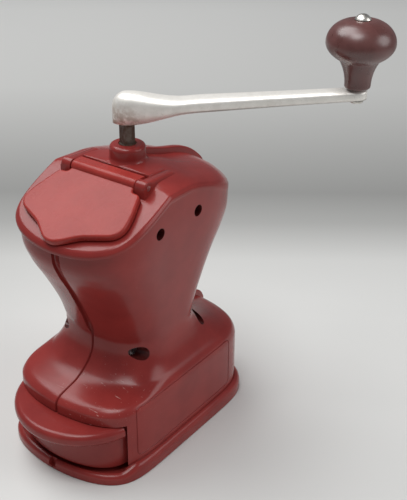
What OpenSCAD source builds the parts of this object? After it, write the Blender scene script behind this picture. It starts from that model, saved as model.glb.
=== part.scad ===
// Hand-cranked coffee grinder in a moulded two-part housing.
// Origin on the spindle axis at the table, +Z up, drawer and lid towards -Y.

/* [Base] */
// Width over the side walls of the base
base_w = 87; // [82:0.5:96]
// Reach of the base wall ahead of the spindle
base_front = 68.6; // [64:0.2:74]
// Reach of the base wall behind the spindle
base_back = 65.5; // [62:0.5:74]
// Height of the base shoulder
base_h = 50; // [49:0.5:54]
// Thickness of the moulded walls
wall = 4; // [3.4:0.1:4.6]
// Height of the plinth bead
plinth_h = 9.5; // [8.5:0.1:12]
// Overhang of the plinth bead at the sides and the back
plinth_out = 3; // [1:0.1:5]
// Overhang of the plinth bead at the front
plinth_front = 6; // [5:0.1:9]
// Thickness of the floor under the drawer
floor_t = 6; // [5:0.1:7]

/* [Hopper] */
// Height of the narrowest section
waist_z = 70; // [67:0.5:74]
// Width of the narrowest section
waist_w = 66; // [62:0.5:74]
// Reach of the narrowest section ahead of the spindle
waist_front = 35.6; // [34:0.1:40]
// Reach of the narrowest section behind the spindle
waist_back = 26; // [25.5:0.1:30]
// Width of the hopper under its rim
hopper_w = 81.2; // [79:0.2:86]
// Reach of the hopper front under its rim
hopper_front = 60.2; // [58:0.2:64]
// Reach of the hopper back
hopper_back = 65; // [60:0.5:70]
// Height of the side edges at their peak
top_z = 160; // [155:0.5:166]
// Fall of the top edge from its peak to the front rim
rim_drop = 21.6; // [18:0.2:24]
// Fall of the top edge from its peak to the back
back_drop = 19; // [14:0.2:24]
// Height of the top's crown over the side edges
crown = 6.2; // [6:0.1:8]
// Further crown towards the back
back_crown = 5.5; // [2:0.1:7]
// Overhang of the rim bead at the front
rim_out = 3.2; // [2:0.1:4]
// Depth of the rim bead
rim_t = 4.5; // [3.5:0.1:6]
// Half width of the groove and the rib along the seam
rib_w = 1.8; // [1.2:0.1:2.4]
// Depth of the seam groove down the hopper's front
groove_front = 2.4; // [1:0.1:3]
// Height of the seam rib over the back
rib_back = 3.6; // [2:0.1:4.5]

/* [Collar and spindle] */
// Diameter of the collar
collar_d = 20; // [18:0.2:24]
// Height of the collar over the crown
collar_h = 8.2; // [5:0.1:12]
// Diameter of the round spindle
shaft_d = 8.8; // [8.7:0.1:9.2]
// Width across the flats of the spindle's square end
square_w = 6.1; // [5:0.1:6.15]
// Gap between the collar and the crank boss
crank_gap = 11.5; // [8:0.1:16]
// Outer diameter of the bush
bush_d = 13; // [12:0.1:14]
// Diameter of the flange that keeps the bush in place
bush_flange_d = 16; // [15:0.1:17]
// Thickness of the bush flange
bush_flange_t = 2.5; // [1.5:0.1:4]

/* [Burrs] */
// Outer diameter of the burr ring
burr_d = 39; // [37:0.2:40]
// Height of the burr ring
burr_h = 16; // [13:0.5:17]
// Height of the ledge that the burr ring stands on
burr_z = 61; // [60:0.5:62]
// Inner diameter of the burr ring at its foot
burr_bore = 32; // [30:0.2:32.6]
// Diameter of the inner burr at its top
cone_top_d = 17; // [15:0.2:20]
// Teeth on each burr
burr_teeth = 18; // [12:1:24]
// Depth of the burr teeth
tooth_d = 0.9; // [0.4:0.1:1.2]
// Grinding gap at the foot of the burrs
grind_gap = 0.7; // [0.5:0.05:1]
// Diameter of the cross pin in the inner burr
burr_pin_d = 2.5; // [2:0.1:3]

/* [Grind adjuster] */
// Thickness of the bridge strap
bridge_t = 3; // [2.4:0.1:3.4]
// Width of the bridge strap
bridge_w = 14; // [12:0.2:18]
// Length of the bridge strap
bridge_l = 56; // [52:0.5:60]
// Height of the underside of the bridge strap
bridge_z = 46.6; // [46.2:0.1:47]
// Diameter of the adjusting screw
adjuster_d = 6; // [5:0.1:7]
// Diameter of the notched head of the adjusting screw
adjuster_head_d = 18; // [15:0.2:20]
// Thickness of the notched head
adjuster_head_t = 3.4; // [2.5:0.1:3.6]
// Notches round the head
adjuster_notches = 20; // [12:1:28]
// Diameter of the thrust ball
ball_d = 5; // [4.4:0.1:5.4]

/* [Lid] */
// Distance of the hinge axis ahead of the spindle
hinge_y = 18.5; // [18:0.1:20]
// Height of the hinge axis over the side edges' peak
hinge_up = 2.2; // [2:0.1:2.8]
// Diameter of the hinge pin
hinge_pin_d = 3; // [2.4:0.1:3.4]
// Diameter of the lid's hinge barrel
barrel_d = 6.6; // [6:0.1:7]
// Width of the lid's hinge barrel
barrel_w = 44.2; // [40:0.2:46]
// Width of each hinge ear
ear_w = 6.8; // [4:0.1:8]
// Thickness of the lid
lid_t = 3.9; // [3:0.1:4]
// Width of the lid beside the hinge
lid_w = 56; // [54:0.2:60]
// Greatest width of the lid
lid_max_w = 69; // [64:0.2:72]
// Length of the lid from the hinge to its front edge
lid_l = 43.2; // [40:0.2:45]
// Length of the finger lip beyond the front edge
lid_lip = 6.8; // [3:0.1:8]

/* [Drawer] */
// Height of the drawer bay
bay_h = 30; // [28:0.1:32]
// Reach of the drawer's front wall ahead of the spindle
drawer_front = 71.6; // [70:0.1:73]
// Wall of the drawer
drawer_wall = 2.2; // [1.6:0.1:3]
// Radius of the handle ledge in plan
handle_r = 41; // [40:0.1:44]
// Overhang of the handle ledge ahead of the drawer's front wall
handle_out = 12.8; // [10:0.1:14]
// Thickness of the handle ledge
handle_t = 8; // [5:0.1:10]
// Radius of the handle's rounded edge
handle_round = 3.4; // [1:0.1:3.8]

/* [Crank] */
// Radius from the spindle to the knob
crank_r = 119; // [100:1:140]
// Direction of the crank at rest, from +X towards +Y
crank_angle = 26.5; // [0:0.5:60]
// Height of the boss
boss_h = 18; // [15:0.2:22]
// Width of the boss
boss_w = 15; // [13:0.2:18]
// Rise of the arm from the boss to the knob
crank_rise = 14.4; // [4:0.2:20]
// Width of the arm at the knob
arm_w = 10.6; // [9:0.1:13]
// Thickness of the arm at the knob
arm_t = 6; // [4.5:0.1:7]

/* [Knob] */
// Height of the rivet's shoulder under the knob
knob_lift = 0.6; // [0.5:0.1:2]
// Greatest diameter of the knob
knob_d = 34.6; // [28:0.2:40]
// Height of the knob
knob_h = 34; // [28:0.5:40]
// Diameter of the knob's foot
knob_foot_d = 13.2; // [11:0.2:17]
// Diameter of the rivet that the knob turns on
rivet_d = 5.4; // [4:0.1:6]
// Diameter of the rivet's domed head
rivet_head_d = 8.1; // [7:0.1:10]
// Height of the rivet's domed head
rivet_head_h = 2.6; // [1.5:0.1:4]

/* [Screws] */
// Diameter of the clamping screws
screw_d = 3.5; // [3:0.1:4]
// Diameter of the screw heads
screw_head_d = 6; // [5.4:0.1:6.4]
// Height of the screw heads and nuts
screw_head_h = 2.6; // [2:0.1:3.2]
// Length of the clamped stack of the upper screws
screw_l_upper = 64; // [58:0.5:66]
// Length of the clamped stack of the lower screws
screw_l_lower = 40; // [36:0.5:44]

/* [Clearances] */
// Gap between fixed pieces that are clamped together
seat_gap = 0.15; // [0.1:0.05:0.3]
// Radial running gap of spindles and pins
run_gap = 0.05; // [0.03:0.01:0.1]
// Gap round the lid's hinge and under the drawer
move_gap = 0.4; // [0.3:0.05:0.6]
// Gap beside and over the drawer
slide_gap = 0.6; // [0.4:0.05:0.9]

/* [Hidden] */
$fn = 64;
eps = 0.01;

// Heights and places that follow from the driving sizes
bay_top = floor_t + bay_h;
brow_y = hinge_y - 3.5;
rim_front = hopper_front + rim_out;
lid_slope = rim_drop / (rim_front - brow_y);
lid_tilt = atan(lid_slope);
hinge_z = top_z + hinge_up;
crown_z = top_z + crown;
collar_z = crown_z + collar_h;
boss_z = collar_z + crank_gap;
knob_z = boss_z + boss_h / 2 + crank_rise + arm_t / 2 + knob_lift;
seat_r = burr_d / 2 + seat_gap;
burr_top = burr_z + burr_h;

// Clamping screws: [depth, height, clamped length], the upper pair first
screws = [[-23, top_z - 19, screw_l_upper], [9.5, top_z - 18, screw_l_upper],
    [-27.5, waist_z - 5.5, screw_l_lower], [25.2, waist_z - 8, screw_l_lower]];

// Squareness of the plan sections: the curve is |x/w|^side + |y/l|^end = 1
side_round = 1.8;
end_base = 8;
end_neck = 5;
end_hopper = 6;
end_back = 4;
end_base_back = 6.5;

function smooth(t) = let (u = min(1, max(0, t))) u * u * (3 - 2 * u);

// Height of the top edge of the hopper at depth y
function edge_z(y) =
    y < -brow_y ? top_z + lid_slope * (y + brow_y) :
    y < 0 ? top_z :
    top_z - back_drop * (1 - cos(180 * min(1, y / hopper_back))) / 2;

// Height of the crown over the edge at depth y
function crown_h(y) = crown * smooth((y + hinge_y + 1.5) / 12) + back_crown * smooth((y - 20) / 35);

// The top falls off like a roof beside the collar and like a dome at the back
function crown_power(y) = 1.8 + 4.2 * smooth((y - 12) / 30);

// Angles round half a section, closer together along the flat side
half_steps = 24;
half_angles = [for (i = [0 : half_steps])
    let (u = 2 * i / half_steps - 1) 90 * sign(u) * pow(abs(u), 2.2)];

// Half a plan section, from the front middle round the side to the back middle
function half_section(half_w, front, back, end_f, end_b) = [for (a = half_angles)
    [half_w * pow(abs(cos(a)), 2 / side_round),
     a < 0 ? -front * pow(-sin(a), 2 / end_f) : back * pow(sin(a), 2 / end_b)]];

// Whole plan outline of a section
function outline(half_w, front, back, end_f, end_b) =
    let (h = half_section(half_w, front, back, end_f, end_b))
    concat(h, [for (i = [half_steps - 1 : -1 : 1]) [-h[i].x, h[i].y]]);

// Bands along the seam: [half width, height over the skin]
seam_line = [0.2, -0.3];
plinth_notch = [1.5, -1.2];
front_groove = [rib_w, -groove_front];
back_rib = [rib_w, rib_back];
seam_side = 0.3;

// Stations of the housing: [height, share of the top's warp, half width, front, back,
// front squareness, back squareness, band at the front, band at the back]
plinth_w = base_w / 2 + plinth_out;
plinth_f = base_front + plinth_front;
plinth_b = base_back + plinth_out;
base_stations = [
    [0, 0, plinth_w, plinth_f, plinth_b,
        end_base, end_base_back, plinth_notch, plinth_notch],
    [plinth_h - 3, 0, plinth_w, plinth_f, plinth_b,
        end_base, end_base_back, plinth_notch, plinth_notch],
    [plinth_h - 1.4, 0, plinth_w - 0.8, plinth_f - 0.8, plinth_b - 0.8,
        end_base, end_base_back, plinth_notch, plinth_notch],
    [plinth_h - 0.2, 0, base_w / 2 + 0.4, plinth_f - 2.6, base_back + 0.4,
        end_base, end_base_back, seam_line, seam_line],
    [plinth_h, 0, base_w / 2, base_front, base_back,
        end_base, end_base_back, seam_line, seam_line],
    [base_h - 8.6, 0, base_w / 2, base_front - 0.8, base_back,
        end_base, end_base_back, seam_line, seam_line],
    [base_h - 6.4, 0, base_w / 2 - 0.4, base_front - 2.4, base_back - 0.3,
        end_base, end_base_back, seam_line, seam_line],
    [base_h - 4.6, 0, base_w / 2 - 1, base_front - 5.4, base_back - 0.9,
        end_base, end_base_back, seam_line, seam_line],
    [base_h - 3.2, 0, base_w / 2 - 1.7, base_front - 11, base_back - 1.6,
        end_base - 1, end_base_back, seam_line, seam_line],
    [base_h - 1.6, 0, base_w / 2 - 2.6, base_front - 17.8, base_back - 2.8,
        end_base - 2, 6, seam_line, seam_line]];

// The neck sweeps in from the shoulder as a concave curve
neck_shares = [0.02, 0.1, 0.22, 0.36, 0.52, 0.72, 1];
shoulder_w = base_w / 2 - 3.9;
shoulder_f = base_front - 21.4;
shoulder_b = base_back - 5;
function swept(from, to, u, k) = to + (from - to) * pow(1 - u, k);
neck_stations = [for (u = neck_shares)
    [base_h + (waist_z - base_h) * u, 0,
     swept(shoulder_w, waist_w / 2, u, 1.9),
     swept(shoulder_f, waist_front, u, 2.9),
     swept(shoulder_b, waist_back, u, 1.45),
     end_neck, end_back + (1 - u),
     seam_line, seam_line + (back_rib - seam_line) * smooth(6 * u)]];

// The hopper spreads upwards, fast in the middle and upright under the rim
hopper_shares = [[0.06, 0.05], [0.15, 0.14], [0.3, 0.32], [0.5, 0.57], [0.7, 0.83],
    [0.86, 0.97], [1, 1]];
hopper_stations = [for (s = hopper_shares)
    let (u = s.x, v = s.y)
    [waist_z + (top_z - rim_t - waist_z) * u, u,
     waist_w / 2 + (hopper_w - waist_w) / 2 * v,
     waist_front + (hopper_front - waist_front) * v,
     waist_back + (hopper_back - waist_back) * v,
     end_neck + v, end_back,
     seam_line + (front_groove - seam_line) * smooth(3 * u), back_rib]];

// The rim bead rolls out over the hopper wall
side_out = 0.8;
rim_stations = [
    [top_z - rim_t + 0.5, 1, hopper_w / 2 + side_out, rim_front - 0.4, hopper_back + 0.3,
        end_hopper + 1, end_back, seam_line, back_rib],
    [top_z - rim_t / 2, 1, hopper_w / 2 + side_out + 0.3, rim_front, hopper_back + 0.3,
        end_hopper + 1, end_back, seam_line, back_rib],
    [top_z - 0.7, 1, hopper_w / 2 + side_out - 0.6, rim_front - 0.8, hopper_back - 1,
        end_hopper + 1, end_back, seam_line, back_rib]];

// Half a ring with the bands of its two ends, drawn past the seam so that the cut there is clean
past_seam = -1;
function seam_ring(pts, fore, aft) =
    let (n = len(pts) - 1, y0 = pts[0].y, y1 = pts[n].y)
    concat([[past_seam, y0 - fore.y], [fore.x, y0 - fore.y], [fore.x + seam_side, y0]],
        [for (i = [1 : n - 1]) pts[i]],
        [[aft.x + seam_side, y1], [aft.x, y1 + aft.y], [past_seam, y1 + aft.y]]);

function wall_ring(s) =
    [for (p = seam_ring(half_section(s[2], s[3], s[4], s[5], s[6]), s[7], s[8]))
        [p.x, p.y, s[0] + s[1] * (edge_z(p.y) - top_z)]];

// Rings of the crowned top, drawn in towards the spindle, with the rib behind it
cap_shares = [0.96, 0.88, 0.76, 0.6, 0.42, 0.22];
function cap_ring(s, g) =
    let (band = [rib_w * min(1, 2 * g), 0])
    [for (p = seam_ring(g * half_section(s[2], s[3], s[4], s[5], s[6]), band, band))
        [p.x, p.y, edge_z(p.y) + crown_h(p.y) * (1 - pow(g, crown_power(p.y)))
            + (p.x <= band.x && p.y > 0 ? rib_back : 0)]];

skin_stations = concat(base_stations, neck_stations, hopper_stations, rim_stations);
skin_rings = concat([for (s = skin_stations) wall_ring(s)],
    [for (g = cap_shares) cap_ring(rim_stations[2], g)]);

// A closed loft through rings of equal length, with flat or pointed ends
module loft(rings, tip = undef) {
    m = len(rings[0]);
    k = len(rings);
    body_faces = [for (i = [0 : k - 2], j = [0 : m - 1])
        each [[i * m + j, (i + 1) * m + j, i * m + (j + 1) % m],
              [i * m + (j + 1) % m, (i + 1) * m + j, (i + 1) * m + (j + 1) % m]]];
    foot = [for (j = [0 : m - 1]) j];
    head = is_undef(tip) ? [[for (j = [m - 1 : -1 : 0]) (k - 1) * m + j]] :
        [for (j = [0 : m - 1]) [(k - 1) * m + j, k * m, (k - 1) * m + (j + 1) % m]];
    points = concat([for (r = rings) each r], is_undef(tip) ? [] : [tip]);
    polyhedron(points, concat(body_faces, [foot], head), convexity = 8);
}

module half_skin() {
    loft(skin_rings, [past_seam, 0, crown_z]);
}

// Inside of the hopper: round at the throat, following the walls above it
throat_r = burr_bore / 2 - 0.5;
throat_lip = 3.4;
hollow_r = throat_r - 1;
hollow_low = burr_top + seat_gap + throat_lip;
hollow_high = top_z - rim_t - wall;
back_wall = wall + 3;
hollow_shares = [[0, 0], [0.12, 0.16], [0.3, 0.42], [0.5, 0.68], [0.72, 0.9], [1, 1]];
function throat_to(r, v) = hollow_r + (r - hollow_r) * v;
function hollow_ring(u, v) =
    let (h = half_section(throat_to(hopper_w / 2 - wall, v), throat_to(hopper_front - wall, v),
            throat_to(hopper_back - back_wall, v), 2 + (end_hopper - 2) * v, 2 + (end_back - 2) * v),
        over = concat([[2 * past_seam, h[0].y]], h, [[2 * past_seam, h[half_steps].y]]))
    [for (p = over) [p.x, p.y, hollow_low + (hollow_high - hollow_low + edge_z(p.y) - top_z) * u]];

module hopper_hollow() {
    loft([for (s = hollow_shares) hollow_ring(s.x, s.y)], [2 * past_seam, 0, hollow_high + eps]);
}

// Filler mouth, in plan: narrow between the hinge ears, wide under the lid
mouth_back = hinge_y - barrel_d - 0.9;
mouth_w = barrel_w / 2 + move_gap / 2;
mouth_ledge = 5.5;
mouth_lip = 8.3;
mouth_corner = 9;
mouth_depth = 14;
module filler_mouth() {
    front_y = hinge_y + (lid_l - mouth_lip) * cos(lid_tilt);
    wide = lid_max_w / 2 - mouth_ledge;
    ear_front = hinge_y + barrel_d;
    half = concat([[mouth_w, -mouth_back], [mouth_w, -ear_front]],
        [for (a = [0 : 15 : 90])
            [wide - mouth_corner * (1 - cos(a)), -front_y + mouth_corner * (1 - sin(a))]]);
    low = top_z - rim_drop - mouth_depth;
    translate([0, 0, low])
        linear_extrude(boss_z - low)
            polygon(concat(half, mirrored(half)));
}

// The other half of a plan outline that is the same on both sides
function mirrored(half) =
    [for (i = [len(half) - 1 : -1 : 0]) if (half[i].x > eps) [-half[i].x, half[i].y]];

// Bay of the drawer, open at the front
bay_half_w = base_w / 2 - wall;
bay_back = base_back - wall;
module drawer_bay() {
    section = half_section(bay_half_w, base_front, bay_back, end_base, end_base_back);
    half = concat([[bay_half_w, -plinth_f - wall]], [for (p = section) if (p.y > 0) p]);
    translate([0, 0, floor_t])
        linear_extrude(bay_h)
            polygon(concat(half, mirrored(half)));
}

// Space round the adjuster, with slots for the ends of the bridge
bridge_room_r = 24;
bridge_room_top = burr_z - 6;
chute_r = burr_bore / 2 + 1;
module adjuster_room() {
    translate([0, 0, bay_top - 1])
        cylinder(h = bridge_room_top - bay_top + 1, r = bridge_room_r);
    translate([-bridge_l / 2 - seat_gap, -bridge_w / 2 - seat_gap, bridge_z])
        cube([bridge_l + 2 * seat_gap, bridge_w + 2 * seat_gap, bridge_t + seat_gap]);
    translate([0, 0, bridge_room_top - 1])
        cylinder(h = burr_z - bridge_room_top + 2, r = chute_r);
}

// Seat of the burr ring with its two key slots, and the throat above it
key_w = 5;
key_out = 2;
key_h = 8;
throat_over = 4;
module burr_seat() {
    translate([0, 0, burr_z])
        cylinder(h = burr_h + seat_gap, r = seat_r);
    translate([-key_w / 2 - seat_gap, -seat_r - key_out, burr_z])
        cube([key_w + 2 * seat_gap, 2 * (seat_r + key_out), key_h + seat_gap]);
    translate([0, 0, burr_top])
        cylinder(h = hollow_low - burr_top + throat_over, r = throat_r);
}

// Collar round the spindle, with a rolled top edge
collar_round = 2.6;
collar_sunk = 5;
module collar() {
    r = collar_d / 2;
    rotate_extrude()
        polygon(concat([[0, crown_z - collar_sunk], [r, crown_z - collar_sunk]],
            [for (a = [0 : 15 : 90])
                [r - collar_round * (1 - cos(a)), collar_z - collar_round * (1 - sin(a))]],
            [[0, collar_z]]));
}

// Room for the bush: a bore with a groove for its flange
bush_z = hollow_high + 0.5;
bush_flange_z = bush_z + 1.5;
bush_top = collar_z - 1;
module bush_room() {
    translate([0, 0, hollow_high - wall])
        cylinder(h = collar_z - hollow_high + wall + 1, r = bush_d / 2 + seat_gap);
    translate([0, 0, bush_flange_z - seat_gap])
        cylinder(h = bush_flange_t + 2 * seat_gap, r = bush_flange_d / 2 + seat_gap);
}

// One hinge ear, and the flat brow that runs back from it and from the lid's tail.
// The brow's bend and end are given as [depth, drop].
ear_x = barrel_w / 2 + move_gap;
ear_d = barrel_d + 0.6;
ear_sunk = 9;
brow_x = 12;
brow_bend = [2, 1.2];
brow_end = [14, 6];
module ear() {
    translate([ear_x, -hinge_y, hinge_z])
        rotate([0, 90, 0])
            cylinder(h = ear_w, d = ear_d);
    translate([ear_x, -hinge_y - ear_d / 2, hinge_z - ear_sunk])
        cube([ear_w, ear_d, ear_sunk]);
    brow(ear_x, ear_w, -hinge_y);
    brow(brow_x, ear_x - brow_x + 1, -mouth_back);
}

module brow(x, w, front) {
    low = hinge_z - ear_sunk;
    top = hinge_z + barrel_d / 2;
    translate([x, 0, 0])
        rotate([90, 0, 90])
            linear_extrude(w)
                polygon([[front, low], [front, top], [brow_bend.x, top - brow_bend.y],
                    [brow_end.x, top - brow_end.y], [brow_end.x, low]]);
}

// Pillars inside the hopper that the upper screws run through
pillar_d = 7;
module pillars() {
    for (s = [screws[0], screws[1]])
        translate([past_seam, s.x, s.y])
            rotate([0, 90, 0])
                cylinder(h = hopper_w / 2 - wall / 2, d = pillar_d);
}

// Holes and counterbores for the screws of one half
head_play = 0.3;
module screw_holes() {
    for (s = screws) {
        translate([-1, s.x, s.y])
            rotate([0, 90, 0])
                cylinder(h = s.z, d = screw_d + 2 * seat_gap);
        translate([s.z / 2, s.x, s.y])
            rotate([0, 90, 0])
                cylinder(h = base_w, d = screw_head_d + 2 * head_play);
    }
}

// One half of the housing, on the +X side of the seam
module body_half() {
    difference() {
        union() {
            difference() {
                half_skin();
                hopper_hollow();
                filler_mouth();
                drawer_bay();
            }
            collar();
            ear();
            pillars();
        }
        adjuster_room();
        burr_seat();
        bush_room();
        screw_holes();
        translate([ear_x - 1, -hinge_y, hinge_z])
            rotate([0, 90, 0])
                cylinder(h = ear_w + 2, d = hinge_pin_d + 2 * run_gap);
        translate([-base_w, -2 * base_front, -1])
            cube([base_w, 4 * base_front, boss_z]);
    }
}

module body_right() {
    color("#7a2f2c") body_half();
}

module body_left() {
    color("#7a2f2c") mirror([1, 0, 0]) body_half();
}

// Front edge of the lid at x, measured along the lid from the hinge
lip_half_w = 18;
front_bow = 7.5;
bow_half_w = 28;
function lid_front(x) =
    lid_l - front_bow * pow(x / bow_half_w, 2)
    + (x < lip_half_w ? lid_lip * (1 + cos(180 * x / lip_half_w)) / 2 : 0);

// Half of the lid in plan, from the hinge round the corner to the lip. It starts clear of the ears.
lid_corner = 9;
lid_rise = 0.9;
lid_start = (ear_d / 2 + move_gap + (lid_t - lid_rise) * sin(lid_tilt)) / cos(lid_tilt);
function lid_half() =
    let (w = lid_max_w / 2, cx = w - lid_corner, cy = lid_l - front_bow - 0.9 * lid_corner)
    concat([[lid_w / 2, -lid_start], [w - 0.6, -cy + 4]],
        [for (a = [0 : 15 : 60]) [cx + lid_corner * cos(a), -cy - lid_corner * sin(a)]],
        [for (x = [22 : -2 : 0]) [x, -lid_front(x)]]);

tail_t = 2.1;
tail_z = 1;
tail_l = barrel_d / 2 + 2.8;
module lid() {
    color("#8d3a36")
        translate([0, -hinge_y, hinge_z])
            difference() {
                union() {
                    rotate([lid_tilt, 0, 0])
                        translate([0, 0, lid_rise - lid_t])
                            linear_extrude(lid_t)
                                polygon(concat(lid_half(), mirrored(lid_half())));
                    rotate([lid_tilt, 0, 0])
                        translate([-barrel_w / 2, -lid_start - 1, lid_rise - lid_t])
                            cube([barrel_w, lid_start + 1, lid_t]);
                    translate([-barrel_w / 2, 0, 0])
                        rotate([0, 90, 0])
                            cylinder(h = barrel_w, d = barrel_d);
                    translate([-barrel_w / 2, 0, tail_z])
                        cube([barrel_w, tail_l, tail_t]);
                }
                translate([-barrel_w / 2 - 1, 0, 0])
                    rotate([0, 90, 0])
                        cylinder(h = barrel_w + 2, d = hinge_pin_d + 2 * run_gap);
            }
}

module lid_hinge_pin() {
    pin_l = 2 * (ear_x + ear_w);
    color("silver")
        translate([-pin_l / 2, -hinge_y, hinge_z])
            rotate([0, 90, 0])
                cylinder(h = pin_l, d = hinge_pin_d);
}

// The drawer is one moulding: box, front wall and ledge handle
drawer_half_w = bay_half_w - slide_gap;
drawer_back = bay_back - 4;
drawer_z = floor_t + move_gap;
handle_top = bay_top - slide_gap;
drawer_rim = handle_top - 2;
function drawer_plan(inset) =
    outline(drawer_half_w - inset, drawer_front - inset, drawer_back - inset, end_base, end_base_back);

// Where the side walls of the base end beside the handle
side_end = base_front * pow(1 - pow(bay_half_w / (base_w / 2), side_round), 1 / end_base);
handle_back = side_end + 0.8;

// The ledge runs back under the shoulder of the housing, as a beam along the top of the front wall
beam_back = base_front - wall - 2;
beam_t = handle_t - 1.5;

// Edge of the handle ledge in section
function handle_edge(low, a) =
    [handle_r - handle_round * (1 - cos(a)), low + handle_round * sin(a)];

module handle_ledge() {
    intersection() {
        translate([0, handle_r - drawer_front - handle_out, handle_top - handle_t])
            rotate_extrude()
                polygon(concat([[0, 0]],
                    [for (a = [-90 : 15 : 0]) handle_edge(handle_round, a)],
                    [for (a = [0 : 15 : 90]) handle_edge(handle_t - handle_round, a)],
                    [[0, handle_t]]));
        translate([-base_w, -2 * plinth_f, 0])
            cube([2 * base_w, 2 * plinth_f - handle_back, bay_top]);
    }
}

module drawer() {
    color("#7a2f2c")
        difference() {
            union() {
                translate([0, 0, drawer_z])
                    linear_extrude(drawer_rim - drawer_z)
                        polygon(drawer_plan(0));
                handle_ledge();
            }
            difference() {
                translate([0, 0, drawer_z + drawer_wall])
                    linear_extrude(handle_top)
                        polygon(drawer_plan(drawer_wall));
                translate([-base_w, -2 * plinth_f, handle_top - beam_t])
                    cube([2 * base_w, 2 * plinth_f - beam_back, handle_top]);
            }
        }
}

module upper_bush() {
    color("darkgoldenrod")
        difference() {
            union() {
                translate([0, 0, bush_z])
                    cylinder(h = bush_top - bush_z, d = bush_d);
                translate([0, 0, bush_flange_z])
                    cylinder(h = bush_flange_t, d = bush_flange_d);
            }
            translate([0, 0, bush_z - 1])
                cylinder(h = collar_z, d = shaft_d + 2 * run_gap);
        }
}

// Stack under the spindle: bridge, screw, ball, then the spindle's cupped foot
screw_stand = 3.6;
screw_top = bridge_z + bridge_t + screw_stand;
cup_depth = 1;
ball_z = screw_top - cup_depth + ball_d / 2;
shaft_foot = ball_z + ball_d / 2 - cup_depth;
ball_fit = 0.04;
boss_roof = 4;
socket_depth = boss_h - boss_roof;
socket_play = 0.5;

module ball_cup() {
    translate([0, 0, ball_z])
        sphere(d = ball_d + 2 * ball_fit);
}

module drive_shaft() {
    color("#5a463a")
        difference() {
            union() {
                translate([0, 0, shaft_foot])
                    cylinder(h = collar_z - shaft_foot, d = shaft_d);
                rotate([0, 0, crank_angle + 45])
                    translate([-square_w / 2, -square_w / 2, bush_top])
                        cube([square_w, square_w, boss_z + socket_depth - socket_play - bush_top]);
            }
            ball_cup();
            pin_bore();
        }
}

// Cone of the inner burr, with slanting teeth
cone_low = burr_z - 1;
cone_high = burr_top - 1;
cone_foot_r = burr_bore / 2 - grind_gap - 0.2;
cone_twist = 40;
ring_twist = -20;
ring_taper = 0.6;
tooth_shape = [0, 1, 0.7, 0.3];
function toothed_ring(r, z, twist) =
    let (steps = len(tooth_shape), n = burr_teeth * steps)
    [for (i = [0 : n - 1])
        let (a = 360 * i / n + twist, q = r + tooth_d * tooth_shape[i % steps])
        [q * cos(a), q * sin(a), z]];

module inner_burr() {
    levels = 6;
    foot = cone_foot_r - tooth_d;
    head = cone_top_d / 2 - tooth_d;
    color("dimgray")
        difference() {
            loft([for (i = [0 : levels])
                let (u = i / levels)
                toothed_ring(foot + (head - foot) * u, cone_low + (cone_high - cone_low) * u,
                    cone_twist * u)]);
            translate([0, 0, cone_low - 1])
                cylinder(h = cone_high - cone_low + 2, d = shaft_d + 2 * run_gap);
            pin_bore();
        }
}

pin_down = 4;
pin_z = cone_high - pin_down;
pin_half_l = cone_top_d / 2;
module pin_bore() {
    translate([-burr_d / 2, 0, pin_z])
        rotate([0, 90, 0])
            cylinder(h = burr_d, d = burr_pin_d + 2 * run_gap);
}

module burr_pin() {
    color("silver")
        translate([-pin_half_l, 0, pin_z])
            rotate([0, 90, 0])
                cylinder(h = 2 * pin_half_l, d = burr_pin_d);
}

module burr_ring() {
    levels = 4;
    key_l = 2 * (seat_r + key_out - seat_gap);
    color("gray")
        difference() {
            union() {
                translate([0, 0, burr_z])
                    cylinder(h = burr_h, d = burr_d);
                translate([-key_w / 2, -key_l / 2, burr_z])
                    cube([key_w, key_l, key_h]);
            }
            loft([for (i = [0 : levels])
                let (u = i / levels)
                toothed_ring(burr_bore / 2 - ring_taper * u, burr_z - 0.5 + (burr_h + 1) * u,
                    ring_twist * u)]);
        }
}

module bearing_bridge() {
    color("silver")
        difference() {
            translate([-bridge_l / 2, -bridge_w / 2, bridge_z])
                cube([bridge_l, bridge_w, bridge_t]);
            translate([0, 0, bridge_z - 1])
                cylinder(h = bridge_t + 2, d = adjuster_d + 2 * run_gap);
            translate([spring_x, 0, bridge_z - 1])
                cylinder(h = bridge_t + 2, d = spring_rivet_d + 2 * run_gap);
        }
}

head_gap = 0.7;
head_top = bridge_z - head_gap;
notch_d = 0.8;
module adjusting_screw() {
    r = adjuster_head_d / 2;
    color("silver")
        difference() {
            union() {
                translate([0, 0, head_top - adjuster_head_t])
                    linear_extrude(adjuster_head_t)
                        polygon([for (i = [0 : 4 * adjuster_notches - 1])
                            let (a = 90 * i / adjuster_notches, q = i % 4 < 2 ? r : r - notch_d)
                            [q * cos(a), q * sin(a)]]);
                translate([0, 0, head_top - 1])
                    cylinder(h = screw_top - head_top + 1, d = adjuster_d);
            }
            ball_cup();
        }
}

module thrust_ball() {
    color("silver")
        translate([0, 0, ball_z])
            sphere(d = ball_d);
}

// Leaf spring riveted under the bridge, its bent end beside the notched head
spring_rivet_d = 3;
spring_t = 0.8;
spring_w = 6;
spring_x = adjuster_head_d / 2 + 7;
module click_spring() {
    finger_x = adjuster_head_d / 2 + move_gap;
    color("silver")
        difference() {
            union() {
                translate([finger_x, -spring_w / 2, bridge_z - spring_t])
                    cube([spring_x - finger_x + 4, spring_w, spring_t]);
                translate([finger_x, -spring_w / 2, head_top - adjuster_head_t])
                    cube([spring_t, spring_w, bridge_z - head_top + adjuster_head_t]);
            }
            translate([spring_x, 0, bridge_z - spring_t - 1])
                cylinder(h = spring_t + 2, d = spring_rivet_d + 2 * run_gap);
        }
}

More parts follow.
